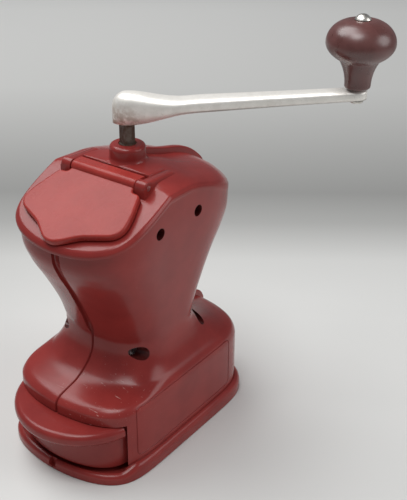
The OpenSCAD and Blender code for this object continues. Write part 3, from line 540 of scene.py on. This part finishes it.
mouth_l, mouth_low, mouth_high = 34.9, 124.4, 186.0
mouth_back, mouth_front = hinge_y - 2 * barrel_r - 0.9, hinge_y + mouth_l * np.cos(lid_tilt)
mouth_w, mouth_wide, mouth_corner = barrel_w / 2 + 0.2, 29.0, 9.0
far, near = mouth_corner * rounding(14)
mouth_half = np.vstack([
    [[0, -mouth_back], [mouth_w, -mouth_back], [mouth_w, -hinge_y - 2 * barrel_r]],
    np.stack([mouth_wide - far, near - mouth_front], -1)])
mouth = upright("filler_mouth", np.vstack([mouth_half[::-1] * [-1, 1], mouth_half[1:]])[::-1],
                mouth_low, mouth_high)

# The bay is open in front above the plinth, which runs on as a thin rail with a trough behind it.
bay_half, bay_back = wide - wall, base_back - wall
rail_t, trough_z, trough_w, trough_end, trough_taper = 2.6, 4.0, 14.0, -44.0, 0.72
bay_x, bay_y = half_plan(bay_half, base_front, bay_back, *base_square, 121)
bay_rear = np.stack([bay_x, bay_y], -1)[bay_y > 0]
bay_plan = np.vstack([[[bay_half, -plinth_f - wall]], bay_rear])
bay = upright("drawer_bay", np.vstack([bay_plan, bay_plan[-2::-1] * [-1, 1]]), plinth_h, bay_top)
rail_x, rail_y = half_plan(plinth_half - rail_t, plinth_f - rail_t, plinth_b, *base_square, 241, 1.6)
rail_plan = np.stack([np.minimum(rail_x, bay_half), rail_y], -1)
bay_low = upright("drawer_bay_low", mirrored(np.vstack([rail_plan[rail_y < 0], bay_rear])),
                  floor_t, plinth_h + 0.1)
trough_plan = np.vstack([[[-2, rail_y[0]]], rail_plan[rail_y < trough_end]])
trough_plan = np.vstack([trough_plan, trough_plan[::-1] * [trough_taper, 1] + [0, trough_w]])
trough = upright("rail_trough", trough_plan, trough_z, floor_t + 0.5)

collar_flare, flare_low, flare_h = 1.3, 1.2, 3.0
far, near = collar_round * rounding(9)
flare = np.linspace(0, 1, 10)
collar_profile = np.vstack([
    [[crown_z - 5, collar_r + collar_flare]],
    np.stack([crown_z - flare_low + flare_h * flare, collar_r + collar_flare * (1 - flare) ** 2.4], -1),
    np.stack([collar_z - near, collar_r - far], -1)])
collar = rod("collar", "z", (0, 0, 0), collar_profile, 128)


def round_ended(low, high, low_round, high_round, steps):
    """Levels of [height, distance in] from low to high, where both ends are rounded off in quarter circles."""
    far, near = rounding(steps)
    return np.vstack([np.stack([low + low_round * far, low_round * near], -1),
                      np.stack([high - high_round * far, high_round * near], -1)[::-1]])


ear_levels = round_ended(ear_x, ear_x + ear_w, 0.5, 1.0, 9)
ear = rod("hinge_ear", "x", hinge_at, [0, ear_r] + ear_levels * [1, -1])
ear_block = block("ear_block", (ear_x, -hinge_y - ear_r, hinge_z - ear_sunk),
                  (ear_x + ear_w, -hinge_y + ear_r, hinge_z))


def brow(name, x0, x1, front, corner):
    """A flat shoulder behind the hinge: its section, a block with rounded upper edges, is carried back while
    its top falls along a bent line."""
    y = np.array([front, front + 0.25, front + 0.9, 2, 8, 14])
    high = hinge_z + barrel_r - np.array([0.9, 0.3, 0, 1.2, 3.6, 6])[column]
    far, near = corner * rounding(9)[:, ::-1]
    x = np.concatenate([[x0], x0 + near, x1 - far, [x1]])
    drop = np.concatenate([far, near])
    z = np.pad(high - drop, ((0, 0), (1, 1)), constant_values=hinge_z - ear_sunk)
    return solid(name, np.stack(np.broadcast_arrays(x, y[column], z), -1))


screw_places = [  # y, height, depth of the head's seat from the seam, radius of the open end
    (-23.0, 141.0, 32.0, 3.3), (9.5, 142.0, 32.0, 3.3), (-27.5, 64.5, 20.0, 3.9), (25.2, 62.0, 20.0, 3.3)]
screw_r, head_seat_r, pillar_r, pillar_end = 1.9, 3.3, 3.5, hopper_w / 2 - 2
body_steps = [
    (cut, hollow), (cut, mouth), (cut, bay), (cut, bay_low), (cut, trough),
    (join, collar), (join, ear), (join, ear_block),
    (join, brow("brow_ear", ear_x, ear_x + ear_w, -hinge_y, 2.6)),
    (join, brow("brow_tail", -3, ear_x + 1, -mouth_back, 1.1)), (join, seam_rib),
    (cut, seam_groove), (cut, seam_line_front), (cut, seam_line_back)]
body_steps += [
    (join, rod(f"pillar_{i}", "x", (0, y, z), [(past_seam, pillar_r), (pillar_end, pillar_r)]))
    for i, (y, z, _, _) in enumerate(screw_places[:2])]

notch_out, notch_in, notch_l, notch_low, notch_seam = 2.9, 1.5, 2.6, 1.8, 0.25
notch_plan = [(-2, -plinth_f - 1), (notch_out, -plinth_f - 1), (notch_in, -plinth_f + notch_l),
              (-2, -plinth_f + notch_l)]
body_steps += [
    (cut, upright("plinth_notch", notch_plan, notch_low, plinth_h)),
    (cut, block("plinth_seam", (-2, -plinth_f - 1, -1), (notch_seam, -plinth_f + 0.6, 3)))]

inner_rooms = [  # round rooms about the spindle, each from one height to another, with its radius
    ("adjuster_room", bay_top - 1, 55, 24), ("chute", 54, 62, 17), ("burr_seat", 61, 77.15, 19.65),
    ("throat", 77, 84.55, 15.5), ("bush_groove", 153.35, 156.15, 8.15)]
body_steps += [(cut, rod(name, "z", (0, 0, 0), [(low, r), (high, r)])) for name, low, high, r in inner_rooms]
bush_low, bush_r, bush_lip, bush_lip_r = 147.5, 6.65, collar_z - 0.95, 5.0
pin_bore_end = 40.0
body_steps += [
    (cut, block("bridge_slot", (-28.15, -7.15, 46.6), (28.15, 7.15, 49.75))),
    (cut, block("burr_keyway", (-2.65, -21.65, 61), (2.65, 21.65, 69.15))),
    (cut, rod("bush_bore", "z", (0, 0, 0), [
        (bush_low, bush_r), (bush_lip, bush_r), (bush_lip, bush_lip_r), (collar_z + 1, bush_lip_r)])),
    (cut, rod("pin_bore", "x", hinge_at, [(ear_x - 1, pin_bore_r), (pin_bore_end, pin_bore_r)]))]
body_steps += [(cut, rod(f"screw_bore_{i}", "x", (0, y, z), [
    (-2, screw_r), (seat, screw_r), (seat, head_seat_r), (seat + 2, head_seat_r), (seat + 3, mouth_r),
    (60, mouth_r)])) for i, (y, z, seat, mouth_r) in enumerate(screw_places)]

panel_y, panel_z, panel_half_l, panel_half_h, panel_corner = -5.3, 28.6, 43.3, 15.9, 3.0
inner_l, inner_h = panel_half_l - panel_corner, panel_half_h - panel_corner
a = np.linspace(0, np.pi / 2, 10) + np.arange(4)[column] * np.pi / 2
arc_y, arc_z = np.array([1, -1, -1, 1])[column] * inner_l, np.array([1, 1, -1, -1])[column] * inner_h
panel_line = np.stack([arc_y + panel_corner * np.cos(a), arc_z + panel_corner * np.sin(a)], -1)
panel_line = np.vstack([panel_line.reshape(-1, 2), panel_line[0, :1]])
panel_run = run_along(panel_line)
even = np.linspace(0, panel_run[-1], 260, endpoint=False)
loop_y = panel_y + np.interp(even, panel_run, panel_line[:, 0])
loop_z = panel_z + np.interp(even, panel_run, panel_line[:, 1])
on_side = np.where(loop_y < 0, (-loop_y / np.interp(loop_z, row_z, row_f)) ** base_square[0],
                   (loop_y / np.interp(loop_z, row_z, row_b)) ** base_square[1])
loop_x = np.interp(loop_z, row_z, row_w) * (1 - on_side) ** (1 / side_square)
panel_loop = np.stack([loop_x, loop_y, loop_z], -1)


def scored(name, loop, radius, face):
    """A thin round tube along a closed loop of points, with no ends: circles across the loop, set out from
    it sideways and along the direction that the scored face looks in."""
    ahead = np.roll(loop, -1, axis=0) - np.roll(loop, 1, axis=0)
    ahead /= np.linalg.norm(ahead, axis=1)[column]
    sideways = np.cross(ahead, face)
    sideways /= np.linalg.norm(sideways, axis=1)[column]
    turn = np.linspace(0, 2 * np.pi, 10, endpoint=False)[None, :, None]
    tube = loop[:, None] + radius * (np.cos(turn) * sideways[:, None]
                                     + np.sin(turn) * np.cross(ahead, sideways)[:, None])
    index = np.arange(tube.shape[0] * tube.shape[1]).reshape(tube.shape[:2])
    around = np.roll(index, -1, axis=1)
    faces = np.stack([index, around, np.roll(around, -1, axis=0), np.roll(index, -1, axis=0)], -1)
    return meshed(name, tube.reshape(-1, 3), faces.reshape(-1, 4).tolist())


foot_plan = mirrored(np.stack(half_plan(wide, base_front, base_back, *base_square, 241, 1.6), -1))
foot_loop = np.column_stack([foot_plan, plinth_h * (1 - plinth_dip(foot_plan[:, 1]))])
body_steps += [
    (cut, scored("panel_line", panel_loop, 0.42, (1.0, 0, 0))),
    (cut, scored("plinth_line", foot_loop, 0.4, (0, 0, 1.0))),
    (cut, block("other_half", (-base_w, -140, -1), (0, 140, 190)))]
rounded_off(carved(body_right, *body_steps))


def distance_from(place, point):
    """How far a place lies from a point, in metres."""
    return place.make("ShaderNodeVectorMath", {0: place, 1: point}, {"operation": "DISTANCE"}, out="Value")


def moulded(name, deep, pale, gloss=0.23, shine=0.33, worn=False):
    """Glossy phenolic moulding: two close reds in soft clouds, a fine orange peel, roughness that wanders with
    handling and pale dust specks. With worn set, it adds fine scratches on the front shoulder and painted shade
    in the screw holes."""
    material, shader, place = finish_of(name, Specular_IOR_Level=shine)
    colour = tinted(between(clouds(place, 26, 4), 0.3, 0.7), (*deep, 1), (*pale, 1))
    specks = between(clouds(place, 1.6, 2, 0.6), 0.70, 0.78) * between(clouds(place, 30, 2), 0.45, 0.65)
    colour = tinted(specks * 0.2, colour, (0.52, 0.33, 0.29, 1))
    rough = gloss + 0.10 * (clouds(place, 18, 4) - 0.5) + 0.06 * (clouds(place, 3, 2) - 0.5)
    height = clouds(place, 2.4, 2) * 0.5 + clouds(place, 0.7, 2) * 0.1
    if worn:
        flat = place.make("ShaderNodeVectorMath", {0: place, 1: (0, 1, 1)}, {"operation": "MULTIPLY"})
        # Painted shade: the inside of each screw hole is darkened nearly to black.
        for y, z, _, mouth_r in screw_places:
            off_axis = distance_from(flat, (0, y / 1000, z / 1000))
            inside = between(off_axis, (mouth_r + 0.25) / 1000, (mouth_r + 0.02) / 1000)
            colour = tinted(inside * 0.7, colour, (0.02, 0.008, 0.007, 1))
        scuffed = between(distance_from(place, (0.022, -0.055, 0.048)), 0.036, 0.012)
        scratches = (between(clouds(place, 1.0, 3, 0.6, (0.06, 1.0, 1.0)), 0.66, 0.72)
                     + between(clouds(place, 0.9, 3, 0.6, (1.0, 0.09, 1.0)), 0.68, 0.74)) * scuffed
        colour = tinted(scratches * 0.5, colour, (0.60, 0.40, 0.36, 1))
        rough = rough + 0.2 * scratches
    feed(shader, Base_Color=colour, Roughness=rough, Normal=dented(height, 0.03, 0.5))
    return material


# worn=True gives the housing its fine shoulder scratches and the painted shade in its screw holes.
coated(body_right, moulded("housing_phenolic", (0.235, 0.027, 0.0245), (0.295, 0.035, 0.0305), worn=True))
left_mesh = body_right.data.copy()
left_mesh.transform(Matrix.Diagonal((-1, 1, 1, 1)))
left_mesh.flip_normals()
body_left = bpy.data.objects.new("housing_left", left_mesh)
scene.collection.objects.link(body_left)
for half, node in ((body_right, "body_right"), (body_left, "body_left")):
    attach(half, "housing")
    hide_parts(node)


# Metal inside the housing: a brass bush in the collar, cast iron burrs, and a steel bridge with the grind
# adjuster, its ball and its click spring. Screws and nuts clamp the halves, and a pin carries the lid.
def dressed(material, *nodes):
    """Gives CAD nodes a finish."""
    for node in nodes:
        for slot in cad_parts[node].material_slots:
            slot.material = material


brass, brass_shader, brass_at = finish_of("bush_brass", Metallic=1.0)
tarnish = between(clouds(brass_at, 4, 4), 0.4, 0.7)
feed(brass_shader, Base_Color=tinted(tarnish, (0.60, 0.43, 0.18, 1), (0.33, 0.22, 0.10, 1)),
     Roughness=0.28 + 0.2 * tarnish, Normal=dented(clouds(brass_at, 0.6, 2, 0.5, (1, 1, 0.1)), 0.02))
dressed(brass, "upper_bush")

iron, iron_shader, iron_at = finish_of("burr_iron", Metallic=0.9)
grime = between(clouds(iron_at, 5, 4), 0.4, 0.68)
feed(iron_shader, Base_Color=tinted(grime, (0.24, 0.235, 0.23, 1), (0.10, 0.075, 0.055, 1)),
     Roughness=0.45 + 0.25 * grime, Normal=dented(clouds(iron_at, 0.8, 3), 0.06))
dressed(iron, "inner_burr", "burr_ring")

steel, steel_shader, steel_at = finish_of("bright_steel", Metallic=1.0)
dulled = between(clouds(steel_at, 6, 4), 0.42, 0.7)
feed(steel_shader, Base_Color=tinted(dulled, (0.50, 0.50, 0.50, 1), (0.26, 0.235, 0.21, 1)),
     Roughness=0.26 + 0.22 * dulled, Normal=dented(clouds(steel_at, 0.5, 2), 0.015))
dressed(steel, "burr_pin", "bearing_bridge", "adjusting_screw", "thrust_ball", "click_spring",
        "click_spring_rivet", "body_screws", "body_nuts", "lid_hinge_pin")


# Spindle: a turned steel bar from the thrust ball up through the bush, filed square where the crank sits.
# The square has gone brown with age above the collar.
brown, brown_shader, brown_at = finish_of("browned_steel")
rust = between(clouds(brown_at, 3.2, 5, 0.65), 0.36, 0.62)
feed(brown_shader, Base_Color=tinted(rust, (0.16, 0.125, 0.105, 1), (0.085, 0.042, 0.024, 1)),
     Metallic=0.75 - 0.6 * rust, Roughness=0.42 + 0.3 * rust,
     Normal=dented(clouds(brown_at, 0.7, 4) * 0.6 + rust * 0.4, 0.12))
dressed(brown, "drive_shaft")


# Lid: one moulding with a flat plate, a finger lip, the hinge barrel and the tail that stops it when open.
# It swings on the steel pin between the two ears of the housing.
lid_t, lid_w, lid_max_w, lid_l, lid_lip = 3.9, 56.0, 69.0, 43.2, 6.8
lid_corner, front_bow, bow_half, lip_half, lid_rise, move_gap = 9.0, 7.5, 28.0, 18.0, 0.9, 0.4
lid_start = (ear_r + move_gap + (lid_t - lid_rise) * np.sin(lid_tilt)) / np.cos(lid_tilt)


def lid_front(x):
    """Front edge of the lid: a parabola across, and half a cosine wave for the finger lip."""
    return lid_l - front_bow * (x / bow_half) ** 2 + np.where(x < lip_half, lid_lip * (
        1 + np.cos(np.pi * np.minimum(x / lip_half, 1))) / 2, 0)


def softened(plan, step, reach):
    """A closed outline in even steps, its corners rounded by a moving average over so many steps each way."""
    loop = np.vstack([plan, plan[:1]])
    run = run_along(loop)
    even = np.linspace(0, run[-1], int(run[-1] / step), endpoint=False)
    weights = np.hanning(2 * reach + 3)[1:-1]
    padded = np.pad(np.stack([np.interp(even, run, loop[:, 0]), np.interp(even, run, loop[:, 1])]),
                    ((0, 0), (reach, reach)), "wrap")
    return np.stack([np.convolve(line, weights / weights.sum(), "valid") for line in padded], -1)


def inset(plan, distance):
    """A closed anticlockwise outline drawn in along its normals."""
    along = np.roll(plan, -1, axis=0) - np.roll(plan, 1, axis=0)
    along /= np.linalg.norm(along, axis=1)[column]
    return plan + distance * np.stack([-along[:, 1], along[:, 0]], -1)


x = np.linspace(0, 22, 23)
a = np.radians(np.arange(60, -1, -5))
corner_x, corner_y = lid_max_w / 2 - lid_corner, lid_l - front_bow - 0.9 * lid_corner
lid_guide = np.vstack([
    np.stack([x, -lid_front(x)], -1),
    np.stack([corner_x + lid_corner * np.cos(a), -corner_y - lid_corner * np.sin(a)], -1),
    [[lid_max_w / 2 - 0.6, -corner_y + 4], [lid_w / 2, -lid_start]]])
guide_run = run_along(lid_guide)
lid_half = eased(guide_run, lid_guide, np.linspace(0, guide_run[-1], 110))
tongue_w, tongue_back = barrel_w / 2, -0.5
lid_half = np.vstack([
    lid_half, np.linspace((lid_w / 2, -lid_start), (tongue_w, -lid_start), 9)[1:],
    np.linspace((tongue_w, -lid_start), (tongue_w, tongue_back), 8)[1:],
    np.linspace((tongue_w, tongue_back), (0, tongue_back), 16)[1:]])
lid_plan = softened(mirrored(lid_half), 0.5, 8)

edge_low, edge_high = 0.7, 1.3
lid_levels = np.vstack([round_ended(0, lid_t, edge_low, edge_high, 7), [[lid_t, edge_high + 0.3]]])


def tilted(points):
    """Points of the flat lid, turned down about the hinge and set on its axis."""
    y, z = points[..., 1], points[..., 2] + lid_rise - lid_t
    return np.stack([points[..., 0], y * np.cos(lid_tilt) - z * np.sin(lid_tilt) - hinge_y,
                     y * np.sin(lid_tilt) + z * np.cos(lid_tilt) + hinge_z], -1)


lid = solid("lid_plate", np.stack([
    tilted(np.column_stack([inset(lid_plan, d), np.full(len(lid_plan), h)])) for h, d in lid_levels]))
barrel_round = 0.7
barrel_levels = round_ended(-barrel_w / 2, barrel_w / 2, barrel_round, barrel_round, 9)
barrel = rod("lid_barrel", "x", hinge_at, [0, barrel_r] + barrel_levels * [1, -1], 72)
tail_low, tail_high, tail_l, tail_round = 1.0, 3.1, 6.1, 0.8
far, near = tail_round * rounding(7)
tail_y = np.pad(tail_l - np.concatenate([near, far]), 1) - hinge_y
tail_z = np.concatenate([[tail_low], tail_low + 0.9 * far, tail_high - near, [tail_high]]) + hinge_z
tail_section = np.stack([tail_y, tail_z], -1)
tail = solid("lid_tail", np.stack([np.column_stack([np.full(len(tail_section), x), tail_section])
                                   for x in (-barrel_w / 2, barrel_w / 2)]))
lid_bore = rod("lid_bore", "x", hinge_at, [(-barrel_w, pin_bore_r), (barrel_w, pin_bore_r)])
carved(lid, (join, barrel), (join, tail), (cut, lid_bore))
rounded_off(lid, 40)
# The lid's reds are paler than the housing's: painted light, for the lid that faces up into the lamps.
coated(lid, moulded("lid_phenolic", (0.315, 0.034, 0.028), (0.375, 0.043, 0.035), 0.27, 0.22))
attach(lid, "lid")
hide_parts("lid")


# Drawer: one moulding in the same red-brown phenolic, a thin box with a bowed front and a round ledge for a
# handle. It slides in its bay on the housing's floor.
slide_gap, end_room, rim_below = 0.6, 4.0, 2.0
drawer_half, drawer_front, drawer_back, drawer_wall = bay_half - slide_gap, 71.6, bay_back - end_room, 2.2
drawer_z, handle_top = floor_t + move_gap, bay_top - slide_gap
drawer_rim = handle_top - rim_below
handle_r, handle_out, handle_t, handle_round = 41.0, 12.8, 8.0, 3.4
foot_round, lip_round, room_round, inside_box = 2.6, 0.7, 1.5, 0.03
drawer_plan = mirrored(np.stack(half_plan(drawer_half, drawer_front, drawer_back, *base_square, 141), -1))


def scaled_in(plan, distance):
    """An outline shrunk about the spindle so that its sides, front and back all come in by that distance."""
    reach = np.where(plan[:, 1] < 0, drawer_front, drawer_back)
    return np.stack([plan[:, 0] * (1 - distance / drawer_half), plan[:, 1] * (1 - distance / reach)], -1)


def drawer_form(name, levels):
    """The drawer's outline carried up through levels of [height, distance in]."""
    return solid(name, np.stack([
        np.column_stack([scaled_in(drawer_plan, d), np.full(len(drawer_plan), z)]) for z, d in levels]))


drawer = drawer_form("drawer_box", round_ended(drawer_z, drawer_rim, foot_round, lip_round, 7))
ledge_levels = round_ended(handle_top - handle_t, handle_top, handle_round, handle_round, 12)
ledge_profile = np.vstack([
    [0, handle_r] + ledge_levels * [1, -1], [[handle_top, handle_r - handle_round - 0.8]]])
ledge = rod("drawer_ledge", "z", (0, handle_r - drawer_front - handle_out + inside_box, 0), ledge_profile, 240)
side_end = base_front * (1 - (bay_half / wide) ** side_square) ** (1 / base_square[0])
carved(ledge, (cut, block("ledge_cut", (-100, -side_end - 0.8, 0), (100, 100, 60))))
room_low, room_high = drawer_z + drawer_wall, 70.0
far, near = room_round * rounding(7)
room = drawer_form("drawer_room", np.vstack([
    np.stack([room_low + far, drawer_wall + near], -1), [[room_high, drawer_wall]]]))
beam_back, beam_t = base_front - wall - 2, handle_t - 1.5
beam = block("drawer_beam", (-100, -200, handle_top - beam_t), (100, -beam_back, 100))
carved(drawer, (join, ledge), (cut, carved(room, (cut, beam))))
rounded_off(drawer)
# The drawer's reds are a little darker than the housing's: painted shade, for the front under the ledge.
coated(drawer, moulded("drawer_phenolic", (0.22, 0.0245, 0.0225), (0.275, 0.0325, 0.0285)))
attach(drawer, "drawer")
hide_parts("drawer")


# Crank: one aluminium casting, a domed boss with a square socket that is pressed on the spindle, and a flat
# arm that rises to the knob. Its skin is left as cast, brushed over by hands, with brown grime at the boss.
crank_r, crank_angle = 119.0, np.radians(26.5)
boss_z, boss_h, boss_w, crank_rise, arm_w, arm_t = 185.9, 18.0, 15.0, 14.4, 10.6, 6.0
boss_mid, boss_up, boss_share, boss_fall = boss_z + boss_h / 2, -0.9, 0.28, 0.82
boss_square, arm_square = 0.75, 0.62
bend_share, bend_rise, level_share, level_run = 0.12, 0.072, 0.16, 0.18
rivet_d, rivet_bore_r, swage_bore_r = 5.4, 2.75, 3.75


def arm_mid(u):
    """Height of the arm's middle at a share of its length: a low start from the boss, then a straight rise to
    the knob. Where it leaves the boss, boss_up is added and fades out by a smooth step."""
    line = np.where(u < bend_share, u * bend_rise / bend_share,
                    bend_rise + (u - bend_share) * (1 - bend_rise) / (1 - bend_share))
    return boss_mid + crank_rise * line + boss_up * (1 - smooth((u - level_share) / level_run))


def arm_rings(x, mid, half_w, half_t, power, around=72):
    """Squared ovals across the arm: y and z go as the cosine and sine raised to a power."""
    a = np.linspace(0, 2 * np.pi, around, endpoint=False)
    y = half_w[column] * np.sign(np.cos(a)) * np.abs(np.cos(a)) ** power[column]
    z = mid[column] + half_t[column] * np.sign(np.sin(a)) * np.abs(np.sin(a)) ** power[column]
    return np.stack(np.broadcast_arrays(x[column], y, z), -1)


u = np.concatenate([np.linspace(0, 0.3, 34)[1:], np.linspace(0.3, 1, 40)[1:]])
cap = np.radians(np.linspace(88, 0, 16))
end = np.radians(np.linspace(0, 88, 14)[1:])
arm_x = np.concatenate([-boss_w / 2 * np.sin(cap), crank_r * u, crank_r + arm_w / 2 * np.sin(end)])
cap_t = boss_h / 2 * (0.55 + 0.45 * np.cos(cap))
mid = np.concatenate([boss_mid + boss_up + cap_t - boss_h / 2, arm_mid(u), 0 * end + arm_mid(1.0)])
half_w = np.concatenate([boss_w / 2 * np.cos(cap), arm_w / 2 + (boss_w - arm_w) / 2 * (1 - smooth(u)),
                         arm_w / 2 * np.cos(end)])
half_t = np.concatenate([
    cap_t,
    arm_t / 2 + (boss_h - arm_t) / 2 * (1 - boss_fall * smooth(u / boss_share) - (1 - boss_fall) * smooth(u)),
    arm_t / 2 * (0.6 + 0.4 * np.cos(end))])


def turned(angle):
    """The matrix that turns rows of [x, y, z] about the spindle."""
    return np.array([[np.cos(angle), np.sin(angle), 0], [-np.sin(angle), np.cos(angle), 0], [0, 0, 1]])


turn = turned(crank_angle)
knob_axis = np.array([crank_r, 0, 0]) @ turn
power = boss_square + (arm_square - boss_square) * smooth(arm_x / crank_r / boss_share)
crank = solid("crank_arm_cast", arm_rings(arm_x, mid, half_w, half_t, power) @ turn)
arm_top, arm_under = float(arm_mid(1.0)) + arm_t / 2, float(arm_mid(1.0)) - arm_t / 2
socket_half, socket_top = 3.1, boss_z + boss_h - 4
square = np.array([[-1, -1], [1, -1], [1, 1], [-1, 1]]) * socket_half @ turned(crank_angle + np.pi / 4)[:2, :2]
carved(crank, (cut, block("boss_foot", (-20, -20, boss_z - 15), (20, 20, boss_z))),
       (cut, upright("boss_socket", square, boss_z - 1, socket_top)),
       (cut, rod("rivet_bore", "z", knob_axis, [
           (arm_under - 8, swage_bore_r), (arm_under, swage_bore_r), (arm_under, rivet_bore_r),
           (arm_top + 4, rivet_bore_r)])))
rounded_off(crank, 40)

cast, cast_shader, cast_at = finish_of("cast_aluminium", Metallic=0.35)
pits = between(clouds(cast_at, 1.1, 3, 0.6), 0.60, 0.72)
brushed = clouds(cast_at, 5, 4)
boss_foot = (0, 0, 0.187)
stain = between(distance_from(cast_at, boss_foot), 0.016, 0.006) * between(clouds(cast_at, 3, 4), 0.35, 0.6)
colour = tinted(between(brushed, 0.35, 0.65), (0.94, 0.91, 0.855, 1), (0.86, 0.83, 0.775, 1))
colour = tinted(pits * 0.3, colour, (0.52, 0.48, 0.43, 1))
colour = tinted(stain * 0.6, colour, (0.30, 0.18, 0.10, 1))
# Painted shade: from about 22 mm out from the spindle, the arm's lower edge and underside are darkened to a
# dark brown-grey.
along_arm = reach_along(cast_at, (np.cos(crank_angle), np.sin(crank_angle), 0))
arm_level = reach_along(cast_at, (0, 0, 1))
arm_climb = crank_rise / crank_r * (1 - bend_rise) / (1 - bend_share)
below = float(arm_mid(1.0)) / 1000 - crank_r * arm_climb / 1000 + along_arm * arm_climb - arm_level
under = between(below, 0.0015, 0.0027) * between(along_arm, 0.022, 0.05)
colour = tinted(under * 0.75, colour, (0.13, 0.11, 0.09, 1))
feed(cast_shader, Base_Color=colour, Roughness=0.42 + 0.12 * (brushed - 0.5) + 0.1 * pits + 0.2 * stain,
     Normal=dented(1 - pits * 0.6 + clouds(cast_at, 2.6, 3) * 0.5, 0.08, 0.8))
coated(crank, cast)
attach(crank, "crank")
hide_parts("crank_arm")


# Knob: a turned pear-shaped grip of dark polished moulding with a flared neck and a flattened belly.
# It is bored through and turns on the rivet.
knob_lift, knob_d, knob_h, knob_foot_d, rivet_head_d, rivet_head_h = 0.6, 34.59, 34.0, 13.2, 8.1, 2.6
knob_z = arm_top + knob_lift
belly_z, belly_h = 0.67 * knob_h, 0.34 * knob_h
crest_r = rivet_head_d / 2 + 0.2
neck_a, flare_power = np.radians(-48), 2.2
belly_a = np.linspace(neck_a, 0, 26)
belly = np.stack([belly_z + belly_h * np.sin(belly_a), knob_d / 2 * np.cos(belly_a) ** 1.3], -1)
s = np.linspace(0, 1, 22)[:-1]
foot_r, (neck_z, neck_r) = knob_foot_d / 2, belly[0]
flare = np.stack([1 + (neck_z - 1) * s, foot_r + (neck_r - foot_r) * s ** flare_power], -1)
dome_a = np.radians(np.linspace(0, 90, 34)[1:])
dome = np.stack([belly_z + (knob_h - belly_z) * np.sin(dome_a),
                 crest_r + (knob_d / 2 - crest_r) * np.cos(dome_a)], -1)
far, near = rounding(7)
foot = np.stack([far, foot_r - near], -1)
knob_place = knob_axis + [0, 0, knob_z]
knob = rod("knob_grip", "z", knob_place, np.vstack([foot[:-1], flare, belly, dome]), 144)
knob_bore = rod("knob_bore", "z", knob_place, [(-1, rivet_bore_r), (knob_h + 1, rivet_bore_r)])
carved(knob, (cut, knob_bore))
rounded_off(knob, 40)
grip, grip_shader, grip_at = finish_of("knob_moulding", Specular_IOR_Level=0.8)
worn = between(clouds(grip_at, 9, 4), 0.35, 0.7)
feed(grip_shader, Base_Color=tinted(worn, (0.105, 0.034, 0.030, 1), (0.14, 0.048, 0.043, 1)),
     Roughness=0.26 + 0.08 * worn, Normal=dented(clouds(grip_at, 1.4, 2), 0.03, 0.5))
coated(knob, grip)
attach(knob, "knob")
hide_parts("knob")


# Knob rivet: a shouldered steel rivet, spread under the arm, whose polished domed head holds the knob.
# It is turned from bar and stays fixed in the arm while the knob turns on it.
head_z = knob_z + knob_h + knob_lift / 2
head_r, rivet_r = rivet_head_d / 2, rivet_d / 2
dome_r = (head_r ** 2 + rivet_head_h ** 2) / (2 * rivet_head_h)
rise = np.linspace(0, 1, 22)[:-1] * rivet_head_h
head_curve = np.sqrt(dome_r ** 2 - (dome_r - rivet_head_h + rise) ** 2)
swage_z, swage_r, washer_z, washer_r = arm_under - 1.2, 3.7, knob_z - knob_lift / 2, 3.6
rivet_profile = np.vstack([
    [[swage_z, 2.6], [swage_z + 0.3, 3.4], [swage_z + 0.8, swage_r], [arm_under, swage_r], [arm_under, rivet_r],
     [arm_top, rivet_r], [arm_top, washer_r], [washer_z, washer_r], [washer_z, rivet_r], [head_z, rivet_r]],
    np.stack([head_z + rise, head_curve], -1), [[head_z + rivet_head_h, 0.02]]])
rivet = rod("knob_rivet_turned", "z", knob_axis, rivet_profile, 96)
rounded_off(rivet, 40)
bright, bright_shader, bright_at = finish_of("polished_rivet", Metallic=1.0)
peened = clouds(bright_at, 1.6, 2)
feed(bright_shader, Base_Color=tinted(between(peened, 0.4, 0.7), (0.74, 0.71, 0.66, 1), (0.58, 0.55, 0.50, 1)),
     Roughness=0.32 + 0.12 * between(clouds(bright_at, 2.6, 3), 0.45, 0.7), Normal=dented(peened, 0.2, 0.5))
coated(rivet, bright)
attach(rivet, "crank")
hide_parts("knob_rivet")
